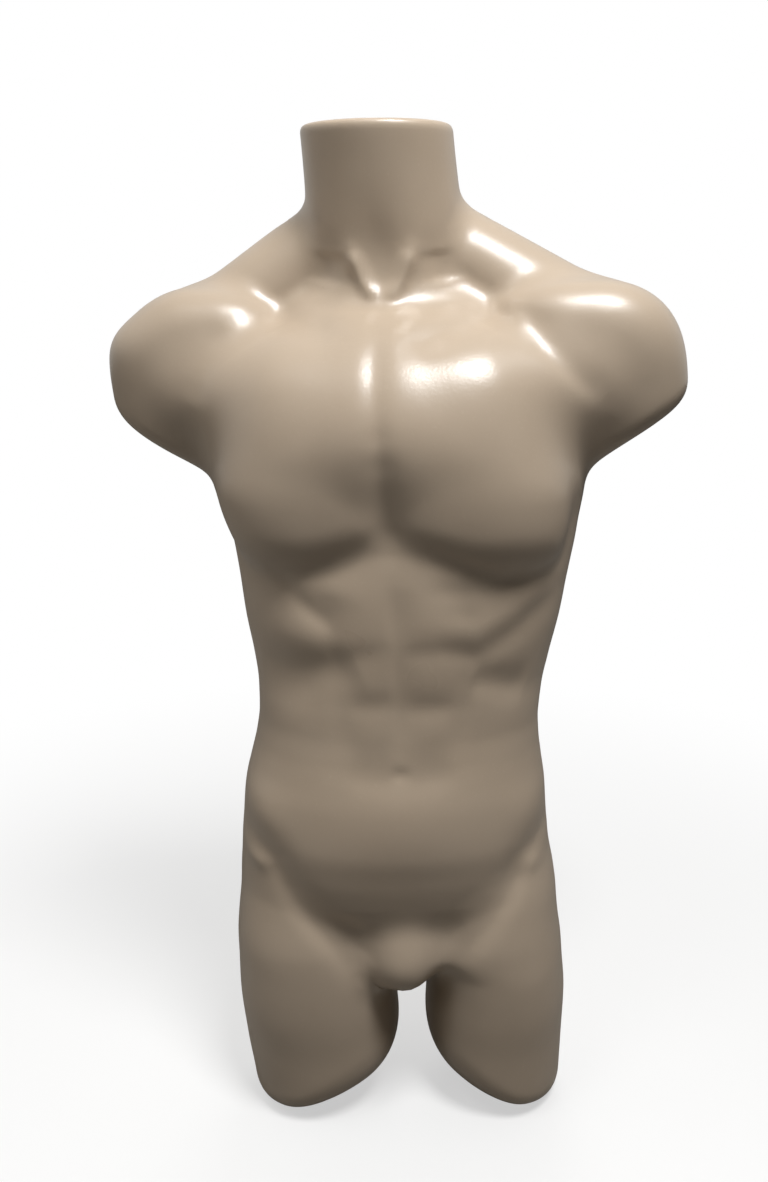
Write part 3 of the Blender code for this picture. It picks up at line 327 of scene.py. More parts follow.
def chest(mirrored):
    """Chest plate with its lower edge."""
    x, y, z = mirrored.T
    centre = (0.058, -0.040, 0.642)
    taper_in, taper_up = 0.022, 0.25
    tapered = mirrored + np.array([taper_in, 0.0, 0.0]) * step(z, 0.610, 0.700)[:, None]
    tapered[:, 2] += taper_up * np.maximum(z - centre[2], 0.0)
    plate = pillow(tapered, centre, radii=(0.094, 0.078, 0.125), power=2.4)
    # the edge dips below the middle of the plate and rises towards the arm
    edge_z, dip, dip_x, dip_width = 0.5770, 0.016, 0.075, 0.046
    rise, rise_x = 0.25, 0.112
    low = edge_z - dip * np.exp(-(((x - dip_x) / dip_width) ** 2)) + rise * np.clip(x - rise_x, 0, 1)
    edge = (low - z) * 0.80 - (y + 0.104) * 0.60
    return smax(plate, edge, blend=0.016)


def arm(mirrored, own_left):
    """Arm stub, leaning back and out as it goes down, cut by an oblique plane."""
    x, y, z = mirrored.T
    lean_out = (0.01 + 0.08 * own_left) * (0.720 - z)
    lean_back = 0.22 * (0.745 - z)
    # the right shoulder is lower at its outer top
    drop = 0.011 * (1 - own_left) * step(x, 0.165, 0.235) * step(z, 0.728, 0.768)
    upright = np.stack([x - lean_out, y - lean_back, z + drop], 1)
    stub = pillow(
        upright, centre=(0.165, 0.000, 0.699), radii=(0.0850, 0.066, 0.0870), power=2.7)
    cut_x, cut_z = 0.250, 0.6795 + 0.005 * own_left
    cut = 0.545 * (x - cut_x) - 0.838 * (z - cut_z)
    return smax(stub, cut, blend=0.016)


def thigh(points, sign, stations, cut_at, soft_span):
    x, z = points[:, 0], points[:, 2]
    cut = -THIGH_DOWN * (z - cut_at[1]) - sign * THIGH_INWARD * (x - cut_at[0])
    rim, softer = 0.028, 0.026
    return smax(section(points, stations), cut, blend=rim + softer * step(-sign * x, *soft_span))


def body(points):
    """Distance to the figure without its muscles."""
    straight = straighten(points)
    x, y, z = straight.T
    mirrored = np.stack([np.sqrt(x**2 + 0.008**2), y, z], 1)
    own_left = step(x, -0.02, 0.02)
    skin = section(straight, TRUNK)
    skin = smin(skin, chest(mirrored), blend=0.008 + 0.030 * step(z, 0.585, 0.66))
    # middle of the chest
    breast = ellipsoid(straight, centre=(0, -0.034, 0.668), radii=(0.085, 0.077, 0.092))
    skin = smin(skin, breast, blend=0.024)
    # web from the chest to the arm
    web = capsule(mirrored, start=(0.080, -0.040, 0.690), end=(0.160, -0.014, 0.705),
                  radius=0.058, end_radius=0.050)
    skin = smin(skin, web, blend=0.026)
    # back of the armpit
    web = capsule(mirrored, start=(0.095, 0.050, 0.650), end=(0.160, 0.030, 0.690),
                  radius=0.053, end_radius=0.048)
    skin = smin(skin, web, blend=0.030)
    # shoulder slope, lower towards the right arm
    right_drop = np.array([0.0, 0.0, 0.0030]) * (1 - own_left)[:, None]
    lowered = mirrored + right_drop * step(mirrored[:, 0], 0.09, 0.17)[:, None]
    slope = capsule(lowered, start=(0.052, 0.022, 0.814), end=(0.178, 0.012, 0.740),
                    radius=0.040, end_radius=0.0405)
    skin = smin(skin, slope, blend=0.018)
    skin = smin(skin, arm(mirrored, own_left), blend=0.016)
    skin = smin(skin, section(straight, NECK), blend=0.014)
    neck_cut = (z - NECK_TOP) * NECK_UP - (y - NECK_TOP_Y) * NECK_FORWARD
    skin = smax(skin, neck_cut, blend=0.007)
    skin = smin(skin, ellipsoid(mirrored, *SEAT_BALL), blend=0.020)
    for sign, stations, cut_at, soft_span, _ in THIGHS.values():
        skin = smin(skin, thigh(points, sign, stations, cut_at, soft_span), blend=0.014)
    bulge = ellipsoid(points, centre=(0.008, -0.060, 0.178), radii=(0.031, 0.033, 0.037))
    return smin(skin, bulge, blend=0.034)


def gradient(field, points, offset=2e-4):
    value = field(points)
    slope = np.empty_like(points)
    for i in range(3):
        moved = points.copy()
        moved[:, i] += offset
        slope[:, i] = (field(moved) - value) / offset
    return value, slope


def project(field, points, rounds, limit=0.01):
    """Moves points onto the zero surface of a field, by at most the limit in each round."""
    for _ in range(rounds):
        value, slope = gradient(field, points)
        move = -(value / ((slope * slope).sum(1) + 1e-9))[:, None] * slope
        length = np.linalg.norm(move, axis=1) + 1e-12
        move *= np.minimum(1, limit / length)[:, None]
        points = points + move
    return points


# ================================================================ relief
def along(x, z, corners):
    """Distance to a line, side of it, and place of the nearest point along it, 0 to 1."""
    corners = np.asarray(corners)
    best, side, where = np.full(len(x), 1e9), np.zeros(len(x)), np.zeros(len(x))
    lengths = np.linalg.norm(np.diff(corners, axis=0), axis=1)
    starts = np.r_[0, np.cumsum(lengths)]
    for i, (start, end) in enumerate(zip(corners[:-1], corners[1:])):
        run = end - start
        dx, dz = x - start[0], z - start[1]
        part = np.clip((dx * run[0] + dz * run[1]) / (run @ run), 0, 1)
        distance = np.hypot(dx - part * run[0], dz - part * run[1])
        new = distance < best
        best[new] = distance[new]
        side[new] = ((run[0] * dz - run[1] * dx) / lengths[i])[new]
        where[new] = ((starts[i] + part * lengths[i]) / starts[-1])[new]
    return best, side, where


def marks(x, z, lines, masses=()):
    """Height of a set of drawn lines and soft masses."""
    line_total = np.zeros(len(x))
    for corners, height, left, right in lines:
        distance, side, where = along(x, z, corners)
        blend = step(side, -0.003, 0.003)
        width = (left * blend + right * (1 - blend)) / 1000
        fade = step(where, -0.12, 0.22) * step(1 - where, -0.12, 0.22)
        line_total += height / 1000 * np.exp(-((distance / width) ** 2)) * fade
    mass_total = np.zeros(len(x))
    for centre_x, centre_z, half_width, half_height, turn, height in masses:
        cos, sin = np.cos(np.radians(turn)), np.sin(np.radians(turn))
        across = (x - centre_x) * cos + (z - centre_z) * sin
        up = -(x - centre_x) * sin + (z - centre_z) * cos
        mass_total += height / 1000 * np.exp(-((across / half_width) ** 2) - (up / half_height) ** 2)
    return line_total + mass_total


def relief(points):
    """Points of the plain body, raised or sunk by the muscles."""
    slope = gradient(body, points)[1]
    normal = slope / np.linalg.norm(slope, axis=1)[:, None]
    x, y, z = straighten(points).T
    either = np.sqrt(x * x + 0.003**2)
    own_left = step(x, -0.004, 0.004)

    def facing(sign):
        return step(sign * normal[:, 1], 0.0, 0.45) * step(sign * y, -0.02, 0.02)

    height = facing(-1) * (
        marks(either, z, LINES_BOTH, MASSES_BOTH)
        + (1 - own_left) * marks(-x, z, LINES_RIGHT, MASSES_RIGHT)
        + own_left * marks(x, z, LINES_LEFT, MASSES_LEFT)
        + marks(x, z, LINES_MIDDLE, MASSES_MIDDLE)
    )
    height += facing(1) * (marks(either, z, LINES_BACK, MASSES_BACK) + marks(x, z, LINES_SPINE))
    return points + height[:, None] * normal


# ================================================================ objects and meshes
scene = bpy.context.scene
looks = bpy.data.collections.new("looks")
tools = bpy.data.collections.new("tools")
for collection in (looks, tools):
    scene.collection.children.link(collection)


def put(name, mesh, collection=looks):
    piece = bpy.data.objects.new(name, mesh)
    collection.objects.link(piece)
    return piece


def tool(name, mesh):
    """A piece that only serves to make others."""
    piece = put(name, mesh, tools)
    piece.hide_render = True
    return piece


def evaluated(piece):
    return bpy.data.meshes.new_from_object(
        piece.evaluated_get(bpy.context.evaluated_depsgraph_get()))


def bake(piece):
    """Applies the modifiers."""
    piece.data = evaluated(piece)
    piece.modifiers.clear()


def shade(mesh, sharp_degrees):
    mesh.shade_smooth()
    mesh.set_sharp_from_angle(angle=math.radians(sharp_degrees))


def register(piece, node, carrier):
    """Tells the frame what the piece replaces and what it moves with."""
    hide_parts(node)
    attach(piece, carrier)


def wear(piece, material):
    piece.data.materials.clear()
    piece.data.materials.append(material)


def points_of(mesh):
    flat = np.empty(len(mesh.vertices) * 3)
    mesh.vertices.foreach_get("co", flat)
    return flat.reshape(-1, 3)


def mesh_of(shape, name):
    mesh = bpy.data.meshes.new(name)
    bmesh.ops.recalc_face_normals(shape, faces=shape.faces)
    shape.to_mesh(mesh)
    shape.free()
    return mesh


def rod_mesh(start, end, radius, sides, end_radius=None):
    start, end = Vector(start), Vector(end)
    turn = (end - start).to_track_quat("Z", "Y").to_matrix().to_4x4()
    shape = bmesh.new()
    bmesh.ops.create_cone(
        shape, cap_ends=True, segments=sides, radius1=radius,
        radius2=radius if end_radius is None else end_radius,
        depth=(end - start).length, matrix=Matrix.Translation((start + end) / 2) @ turn,
    )
    return mesh_of(shape, "rod")


def bridge(shape, near, far, closed=True):
    """Quads between two rows of vertices."""
    for i in range(len(near) if closed else len(near) - 1):
        j = (i + 1) % len(near)
        shape.faces.new((near[i], near[j], far[j], far[i]))


def boolean(piece, operation, other):
    modifier = piece.modifiers.new(operation.lower(), "BOOLEAN")
    modifier.operation, modifier.solver, modifier.object = operation, "EXACT", other


# ================================================================ the figure's surface
def loft(shape, stations):
    """A closed loft through egg-shaped sections."""
    rings = []
    for z in np.linspace(stations[0][0], stations[-1][0], 20):
        centre_x, centre_y, half_width, front, back, _ = curve(np.array([z]), stations)[0]
        ring = bmesh.ops.create_circle(shape, segments=32, radius=1.0)["verts"]
        for vert in ring:
            depth = back if vert.co.y > 0 else front
            vert.co = Vector((centre_x + half_width * vert.co.x, centre_y + depth * vert.co.y, z))
        rings.append(ring)
    for pair in zip(rings, rings[1:]):
        edges = set()
        for ring in pair:
            own = set(ring)
            edges |= {e for vert in ring for e in vert.link_edges if set(e.verts) <= own}
        bmesh.ops.bridge_loops(shape, edges=list(edges))
    shape.faces.new(rings[0])
    shape.faces.new(rings[-1])


def blank():
    """Rough overlapping solids that the skin is drawn from."""
    shape = bmesh.new()
    loft(shape, TRUNK)
    loft(shape, NECK)
    for (x, y, z), radii in BLANK_BALLS:
        for side in (1, -1) if x else (1,):
            bmesh.ops.create_uvsphere(
                shape, u_segments=24, v_segments=16, radius=1.0,
                matrix=Matrix.Translation((x * side, y, z)) @ Matrix.Diagonal((*radii, 1.0)))
    bmesh.ops.recalc_face_normals(shape, faces=shape.faces)
    posed = pose(np.array([vert.co[:] for vert in shape.verts]))
    for vert, place in zip(shape.verts, posed):
        vert.co = place
    loft(shape, THIGH_RIGHT)
    loft(shape, THIGH_LEFT)
    return mesh_of(shape, "blank")


def surface(name, voxel, rounds, depth=0.0):
    """The skin, or the surface at a depth under it, as one closed mesh of quads."""
    piece = tool(name, blank())
    remesh = piece.modifiers.new("one_body", "REMESH")
    remesh.mode, remesh.voxel_size, remesh.adaptivity = "VOXEL", voxel, 0.0
    bake(piece)
    mesh = piece.data
    points = points_of(mesh)
    ends = np.empty(len(mesh.edges) * 2, int)
    mesh.edges.foreach_get("vertices", ends)
    one, other = ends.reshape(-1, 2).T
    neighbours = np.bincount(ends, minlength=len(points))[:, None]

    def smoothed(points):
        total = [
            np.bincount(one, points[other, i], len(points))
            + np.bincount(other, points[one, i], len(points))
            for i in range(3)
        ]
        return np.stack(total, 1) / neighbours

    points = project(body, points, rounds=4, limit=0.012)
    for _ in range(rounds):
        points = project(body, 0.4 * points + 0.6 * smoothed(points), rounds=1)
    points = project(body, points, rounds=3)
    drawn = relief(points) - points
    if depth:
        points = project(lambda places: body(places) + depth, points, rounds=6, limit=0.003)
    points = points + drawn - POLE_SEAT
    mesh.vertices.foreach_set("co", points.ravel())
    mesh.update()
    return piece


outer = surface("figure_outer", VOXEL, rounds=6)
inner = surface("figure_inner", INNER_VOXEL, rounds=4, depth=WALL)

outer_points = points_of(outer.data)
outer_faces = [tuple(face.vertices) for face in outer.data.polygons]
outer_tree = BVHTree.FromPolygons(outer_points.tolist(), outer_faces, all_triangles=False)
outer_normals = np.empty(len(outer.data.vertices) * 3)
outer.data.vertex_normals.foreach_get("vector", outer_normals)
outer_normals = outer_normals.reshape(-1, 3)


def layered():
    """Outer skin and the inside of the wall in one mesh."""
    first = len(outer_points)
    faces = outer_faces + [
        tuple(first + i for i in reversed(face.vertices)) for face in inner.data.polygons]
    mesh = bpy.data.meshes.new("layered")
    mesh.from_pydata(np.concatenate([outer_points, points_of(inner.data)]).tolist(), [], faces)
    mesh.update()
    return mesh


def skin_normal(point):
    """Normal of the uncut outer skin at a point, or None away from it."""
    at, _, index, distance = outer_tree.find_nearest(Vector(point))
    if at is None or distance > 0.0002:
        return None
    corners = np.array(outer_faces[index])
    away = np.linalg.norm(outer_points[corners] - point, axis=1) + 1e-7
    normal = (outer_normals[corners] / away[:, None] ** 2).sum(0)
    return normal / np.linalg.norm(normal)


def keep_curvature(mesh):
    """Gives the skin its normals from before the cuts, so that a joint doesn't change the shine."""
    points = points_of(mesh)
    custom = np.zeros((len(mesh.loops), 3))
    vertex_of = np.empty(len(mesh.loops), int)
    mesh.loops.foreach_get("vertex_index", vertex_of)
    face_normals = np.empty(len(mesh.polygons) * 3)
    mesh.polygons.foreach_get("normal", face_normals)
    face_normals = face_normals.reshape(-1, 3)
    found = {}
    for face in mesh.polygons:
        for loop in face.loop_indices:
            vertex = vertex_of[loop]
            if vertex not in found:
                found[vertex] = skin_normal(points[vertex])
            normal = found[vertex]
            if normal is not None and normal @ face_normals[face.index] > 0.75:
                custom[loop] = normal
    mesh.normals_split_custom_set(custom.tolist())


# ================================================================ shells and end plates
seat = Vector(POLE_SEAT)
neck_turn = math.radians(float(curve(np.array([NECK_TOP]), TWIST)[0]))
# name pattern, centre, outward axis, radius and its gap, sides, disc depth below and above
ends = [dict(
    name="neck_{}",
    centre=Vector(pose(np.array([[0.0, NECK_TOP_Y, NECK_TOP]]))[0]) - seat,
    axis=Vector((math.sin(neck_turn) * NECK_FORWARD, -math.cos(neck_turn) * NECK_FORWARD, NECK_UP)),
    radius=NECK_PLATE_R, gap=0.00008, sides=160, below=0.005, above=0.02,
)]
for side, (sign, *_, plate_centre) in THIGHS.items():
    ends.append(dict(
        name="thigh_{}_" + side,
        centre=Vector(plate_centre) - seat,
        axis=Vector((-sign * THIGH_INWARD, 0.0, -THIGH_DOWN)).normalized(),
        radius=THIGH_PLATE_R, gap=0.00006, sides=128, below=0.010, above=0.029,
    ))


def end_rod(end, kind, radius, below, above):
    start, stop = end["centre"] - end["axis"] * below, end["centre"] + end["axis"] * above
    return tool(end["name"].format(kind), rod_mesh(start, stop, radius, end["sides"]))


def half_of(whole, name, sign):
    """One side of the parting plane, with the wall closed where it is cut."""
    shape = bmesh.new()
    shape.from_mesh(whole)
    direction = Vector((0, sign, 0))
    bmesh.ops.bisect_plane(
        shape, geom=[*shape.verts, *shape.edges, *shape.faces], dist=0.000002,
        plane_co=Vector((0, PARTING_Y + sign * SEAM / 2, 0)), plane_no=direction, clear_inner=True)
    rim = [edge for edge in shape.edges if edge.is_boundary]
    bmesh.ops.triangle_fill(shape, use_beauty=True, edges=rim, normal=-direction)
    mesh = bpy.data.meshes.new(name)
    shape.to_mesh(mesh)
    shape.free()
    return put(name, mesh)


def finish_skin(piece, node):
    bake(piece)
    shade(piece.data, sharp_degrees=40)
    keep_curvature(piece.data)
    register(piece, node, "torso")
    return piece


holes = [end_rod(end, "hole", end["radius"] + end["gap"], below=0.030, above=0.03) for end in ends]
holes.append(tool("socket_hole", rod_mesh((0, 0, -0.13), (0, 0, 0.02), SOCKET_R + SOCKET_GAP, 64)))
whole_shell = tool("whole_shell", layered())
for hole in holes:
    boolean(whole_shell, "DIFFERENCE", hole)
pierced = evaluated(whole_shell)
whole_shell.modifiers.clear()
skins = [
    finish_skin(half_of(pierced, "front_skin", -1), "front_shell"),
    finish_skin(half_of(pierced, "back_skin", 1), "back_shell"),
]
for end in ends:
    cap = put(end["name"].format("cap"), outer.data.copy())
    disc = end_rod(end, "disc", end["radius"], end["below"], end["above"])
    boolean(cap, "INTERSECT", disc)
    skins.append(finish_skin(cap, end["name"].format("plate")))


# ================================================================ materials
class Graph:
    """Short hand for the node tree of a material or world."""

    def __init__(self, owner, shader="Principled BSDF", coordinates="Object"):
        owner.use_nodes = True
        self.owner = owner
        self.tree = owner.node_tree
        self.shader = self.tree.nodes[shader]
        self.where = self.add("ShaderNodeTexCoord").outputs[coordinates]

    def add(self, kind, **settings):
        node = self.tree.nodes.new(kind)
        for key, value in settings.items():
            setattr(node, key, value)
        return node

    def wire(self, node, **inputs):
        """Sets or links inputs by name, or by number as _0, _1."""
        for key, value in inputs.items():
            numbered = key[0] == "_" and key[1:].isdigit()
            socket = node.inputs[int(key[1:]) if numbered else key.replace("_", " ")]
            if hasattr(value, "links"):
                self.tree.links.new(value, socket)
            else:
                socket.default_value = value
        return node

    def noise(self, scale, detail=3.0, rough=0.5, vector=None, distortion=0.0):
        node = self.add("ShaderNodeTexNoise")
        self.wire(node, Vector=vector or self.where, Scale=scale, Detail=detail, Roughness=rough,
                  Distortion=distortion)
        return node.outputs["Fac"]

    def bands(self, direction, scale, distortion, detail):
        node = self.add("ShaderNodeTexWave", wave_type="BANDS", bands_direction=direction)
        self.wire(node, Vector=self.where, Scale=scale, Distortion=distortion, Detail=detail)
        return node.outputs["Fac"]

    def stretch(self, x, y, z):
        node = self.wire(self.add("ShaderNodeMapping"), Vector=self.where, Scale=(x, y, z))
        return node.outputs["Vector"]

    def span(self, value, over, to=(0.0, 1.0), smooth=False):
        node = self.add("ShaderNodeMapRange")
        if smooth:
            node.interpolation_type = "SMOOTHSTEP"
        self.wire(node, Value=value, From_Min=over[0], From_Max=over[1], To_Min=to[0], To_Max=to[1])
        return node.outputs["Result"]

    def math(self, operation, value, by):
        return self.wire(self.add("ShaderNodeMath", operation=operation), _0=value, _1=by).outputs[0]

    def mix(self, amount, under, over):
        node = self.add("ShaderNodeMix", data_type="RGBA")
        return self.wire(node, _0=amount, _6=under, _7=over).outputs[2]

    def mix_shader(self, amount, under, over):
        node = self.add("ShaderNodeMixShader")
        return self.wire(node, _0=amount, _1=under, _2=over).outputs[0]

    def bump(self, height, strength, distance, normal=None):
        node = self.add("ShaderNodeBump")
        self.wire(node, Height=height, Strength=strength, Distance=distance)
        if normal:
            self.wire(node, Normal=normal)
        return node.outputs["Normal"]

    def out(self, **inputs):
        self.wire(self.shader, **inputs)
        return self.owner


def rgb(red, green, blue):
    return (red, green, blue, 1.0)


def skin_paint():
    """Mottled beige paint under a rippled clear coat."""
    mat = Graph(bpy.data.materials.new("skin_paint"))
    beige, light_beige = rgb(0.415, 0.330, 0.245), rgb(0.450, 0.364, 0.276)
    blotch, fleck, rubbed = rgb(0.370, 0.282, 0.200), rgb(0.52, 0.43, 0.33), rgb(0.56, 0.49, 0.40)
    cloudy = mat.noise(scale=5.0, detail=4.0, rough=0.55)
    mottle = mat.noise(scale=38.0, detail=3.0, rough=0.6)
    fine = mat.noise(scale=420.0, detail=2.0, rough=0.5)
    base = mat.mix(mat.span(cloudy, over=(0.3, 0.7)), beige, light_beige)
    base = mat.mix(mat.span(mottle, over=(0.35, 0.7), to=(0.0, 0.10)), base, blotch)
    base = mat.mix(mat.span(fine, over=(0.62, 0.75), to=(0.0, 0.18)), base, fleck)
    # handled rims: paint rubbed a little paler and duller
    pointed = mat.add("ShaderNodeNewGeometry").outputs["Pointiness"]
    edge = mat.span(pointed, over=(0.52, 0.60))
    patches = mat.span(mat.noise(scale=90.0, detail=4.0, rough=0.65), over=(0.42, 0.62))
    rub = mat.math("MULTIPLY", edge, by=patches)
    base = mat.mix(mat.math("MULTIPLY", rub, by=0.25), base, rubbed)
    gloss = mat.span(mottle, over=(0.2, 0.8), to=(0.34, 0.42))
    rough = mat.math("ADD", gloss, by=mat.math("MULTIPLY", rub, by=0.12))
    peel = mat.noise(scale=260.0, detail=1.5, rough=0.45)
    ripple = mat.noise(scale=48.0, detail=2.0, rough=0.5)
    normal = mat.bump(ripple, strength=0.12, distance=0.0010)
    normal = mat.bump(peel, strength=0.18, distance=0.00022, normal=normal)
    coat_grain = mat.noise(scale=420.0, detail=1.0, rough=0.4)
    coat_normal = mat.bump(ripple, strength=0.20, distance=0.0010)
    coat_normal = mat.bump(coat_grain, strength=0.55, distance=0.00030, normal=coat_normal)
    return mat.out(
        Base_Color=base, Roughness=rough, Normal=normal, Coat_Weight=0.62,
        Coat_Roughness=mat.span(cloudy, over=(0.3, 0.7), to=(0.27, 0.35)),
        Coat_Normal=coat_normal, Specular_IOR_Level=0.45,
    )


def zinc_steel():
    """Plated steel, drawn lengthwise, with a few rust specks."""
    mat = Graph(bpy.data.materials.new("zinc_steel"))
    grey, yellowish, rust = rgb(0.56, 0.56, 0.54), rgb(0.66, 0.65, 0.60), rgb(0.24, 0.17, 0.11)
    drawn = mat.noise(scale=900.0, detail=2.0, rough=0.5, vector=mat.stretch(1.0, 1.0, 0.03))
    blotch = mat.noise(scale=120.0, detail=4.0, rough=0.6)
    base = mat.mix(mat.span(blotch, over=(0.35, 0.65)), grey, yellowish)
    specks = mat.noise(scale=300.0, detail=5.0, rough=0.7)
    base = mat.mix(mat.span(specks, over=(0.66, 0.74), to=(0.0, 0.5)), base, rust)
    streaks = mat.span(drawn, over=(0.3, 0.7), to=(0.26, 0.40))
    rough = mat.math("ADD", streaks, by=mat.span(blotch, over=(0.4, 0.7), to=(0.0, 0.10)))
    return mat.out(Base_Color=base, Metallic=1.0, Roughness=rough,
                   Normal=mat.bump(drawn, strength=0.15, distance=0.0001))


def plywood():
    mat = Graph(bpy.data.materials.new("plywood"))
    pale, brown = rgb(0.56, 0.38, 0.20), rgb(0.42, 0.26, 0.12)
    glue, pore = rgb(0.27, 0.16, 0.08), rgb(0.20, 0.12, 0.06)
    grain = mat.noise(scale=60.0, detail=5.0, rough=0.6, vector=mat.stretch(0.12, 3.0, 6.0),
                      distortion=0.4)
    pores = mat.noise(scale=700.0, detail=2.0, rough=0.5, vector=mat.stretch(0.06, 1.0, 1.0))
    plies = mat.bands("Z", scale=52.0, distortion=0.3, detail=2.0)
    base = mat.mix(mat.span(grain, over=(0.3, 0.7)), pale, brown)
    base = mat.mix(mat.span(plies, over=(0.45, 0.6), to=(0.0, 0.35)), base, glue)
    base = mat.mix(mat.span(pores, over=(0.6, 0.7), to=(0.0, 0.5)), base, pore)
    return mat.out(Base_Color=base, Roughness=mat.span(grain, over=(0.3, 0.7), to=(0.62, 0.78)),
                   Normal=mat.bump(pores, strength=0.3, distance=0.0003))


def glass_tape():
    """Woven glass tape soaked in resin."""
    mat = Graph(bpy.data.materials.new("glass_tape"))
    gap, thread, resin_tint = rgb(0.34, 0.31, 0.20), rgb(0.62, 0.60, 0.50), rgb(0.45, 0.38, 0.20)
    warp, weft = [mat.bands(way, scale=260.0, distortion=0.6, detail=1.0) for way in "XZ"]
    weave = mat.math("MAXIMUM", warp, by=weft)
    resin = mat.noise(scale=30.0, detail=4.0, rough=0.6)
    base = mat.mix(weave, gap, thread)
    base = mat.mix(mat.span(resin, over=(0.4, 0.65), to=(0.0, 0.4)), base, resin_tint)
    return mat.out(Base_Color=base, Roughness=mat.span(resin, over=(0.3, 0.7), to=(0.25, 0.6)),
                   Normal=mat.bump(weave, strength=0.5, distance=0.0002), Coat_Weight=0.3)


def black_moulding():
    mat = Graph(bpy.data.materials.new("black_moulding"))
    black, scuffed = rgb(0.018, 0.018, 0.019), rgb(0.065, 0.062, 0.060)
    grain = mat.noise(scale=1500.0, detail=2.0, rough=0.6)
    scuff = mat.noise(scale=220.0, detail=5.0, rough=0.7)
    base = mat.mix(mat.span(scuff, over=(0.55, 0.72), to=(0.0, 0.6)), black, scuffed)
    return mat.out(Base_Color=base, Roughness=mat.span(scuff, over=(0.3, 0.7), to=(0.42, 0.60)),
                   Normal=mat.bump(grain, strength=0.35, distance=0.0001))


SKIN, STEEL, PLY, GLASS, BLACK = skin_paint(), zinc_steel(), plywood(), glass_tape(), black_moulding()

for piece in skins:
    wear(piece, SKIN)

for node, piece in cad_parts.items():
    if node.startswith("seam_tape"):
        material = GLASS
    elif node == "mount_block":
        material = PLY
    elif node == "clamp_screw_wings":
        material = BLACK
    elif "shell" in node or "thigh" in node or "neck" in node:
        material = SKIN
    else:
        material = STEEL
    for slot in piece.material_slots:
        slot.link = "OBJECT"
        slot.material = material

# ================================================================ stand fitting
nut_low, nut_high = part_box("clamp_nut")
clamp_z = (nut_low.z + nut_high.z) / 2


def around_clamp(radius, angle, y):
    """A point on a circle about the clamp's axis, which runs along Y."""
    return (radius * math.cos(angle), y, clamp_z + radius * math.sin(angle))


def socket_sleeve():
    """Chamfered tube about the Z axis, with a hole for the clamp screw."""
    low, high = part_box("socket_tube")
    sides, bevel = 72, 0.0006
    profile = [  # radius, z
        (BORE_R + bevel, low.z), (SOCKET_R - bevel, low.z),
        (SOCKET_R - bevel * 0.3, low.z + bevel * 0.3), (SOCKET_R, low.z + bevel),
        (SOCKET_R, high.z - bevel), (SOCKET_R - bevel, high.z), (BORE_R + bevel, high.z),
        (BORE_R, high.z - bevel), (BORE_R, low.z + bevel * 1.6),
    ]
    shape = bmesh.new()
    rings = []
    for k in range(sides):
        angle = 2 * math.pi * k / sides
        rings.append([
            shape.verts.new((r * math.cos(angle), r * math.sin(angle), z)) for r, z in profile])
    for k in range(sides):
        bridge(shape, rings[k], rings[(k + 1) % sides])
    tube = put("socket_sleeve", mesh_of(shape, "socket_sleeve"))
    drill = rod_mesh((0, 0, clamp_z), (0, 0.03, clamp_z), CLAMP_HOLE_R, 40)
    boolean(tube, "DIFFERENCE", tool("clamp_hole", drill))
    bake(tube)
    shade(tube.data, sharp_degrees=35)
    register(tube, "socket_tube", "torso")
    wear(tube, STEEL)


def weld_nut():
    """Hexagon with turned chamfers at its back end."""
    radius = (nut_high.x - nut_low.x) / 2
    start, end = Vector((0, nut_low.y, clamp_z)), Vector((0, nut_high.y, clamp_z))
    nut = put("weld_nut", rod_mesh(start, end, radius, 6))
    cone = rod_mesh((0, nut_low.y - 0.0005, clamp_z), end, radius + 0.0022, 72, radius - 0.0005)
    boolean(nut, "INTERSECT", tool("nut_chamfer", cone))
    past = 0.01
    drill = rod_mesh(
        (0, nut_low.y - past, clamp_z), (0, nut_high.y + past, clamp_z), CLAMP_HOLE_R, 48)
    boolean(nut, "DIFFERENCE", tool("nut_thread", drill))
    bake(nut)
    shade(nut.data, sharp_degrees=28)
    register(nut, "clamp_nut", "torso")
    wear(nut, STEEL)


def clamp_screw():
    """Core with a rolled thread."""
    low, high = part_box("clamp_screw_shank")
    radius = (high.x - low.x) / 2
    core = radius - 0.0006
    sides, bevel = 36, 0.0008
    heel_y = high.y - 0.0005
    profile = [(core - bevel, low.y), (core, low.y + bevel), (core, heel_y)]  # radius, y
    shape = bmesh.new()
    rings = []
    for k in range(sides):
        angle = 2 * math.pi * k / sides
        rings.append([shape.verts.new(around_clamp(r, angle, y)) for r, y in profile])
    tip = shape.verts.new((0, low.y, clamp_z))
    heel = shape.verts.new((0, heel_y, clamp_z))
    for k in range(sides):
        near, far = rings[k], rings[(k + 1) % sides]
        bridge(shape, near, far, closed=False)
        shape.faces.new((tip, near[0], far[0]))
        shape.faces.new((heel, far[-1], near[-1]))

    pitch, per_turn = 0.001, 28
    half_root, half_crest = 0.00044, 0.00008
    root, shallow = core - 0.0002, core - 0.0001  # sunk in the core; crest where it fades out
    first, last = low.y + 0.0010, high.y - 0.0012
    count = int((last - first) / pitch * per_turn)
    previous = None
    for k in range(count + 1):
        angle = 2 * math.pi * k / per_turn
        y = first + pitch * k / per_turn
        grow = min(1.0, k / per_turn, (count - k) / per_turn)
        crest = shallow + (radius - core + 0.0001) * grow
        outline = [(root, y - half_root), (crest, y - half_crest),
                   (crest, y + half_crest), (root, y + half_root)]
        ring = [shape.verts.new(around_clamp(r, angle, at_y)) for r, at_y in outline]
        if previous:
            bridge(shape, previous, ring)
        else:
            shape.faces.new(ring)
        previous = ring
    shape.faces.new(previous[::-1])
    screw = put("clamp_screw_thread", mesh_of(shape, "clamp_screw_thread"))
    shade(screw.data, sharp_degrees=32)
    register(screw, "clamp_screw_shank", "clamp_shank")
    wear(screw, STEEL)


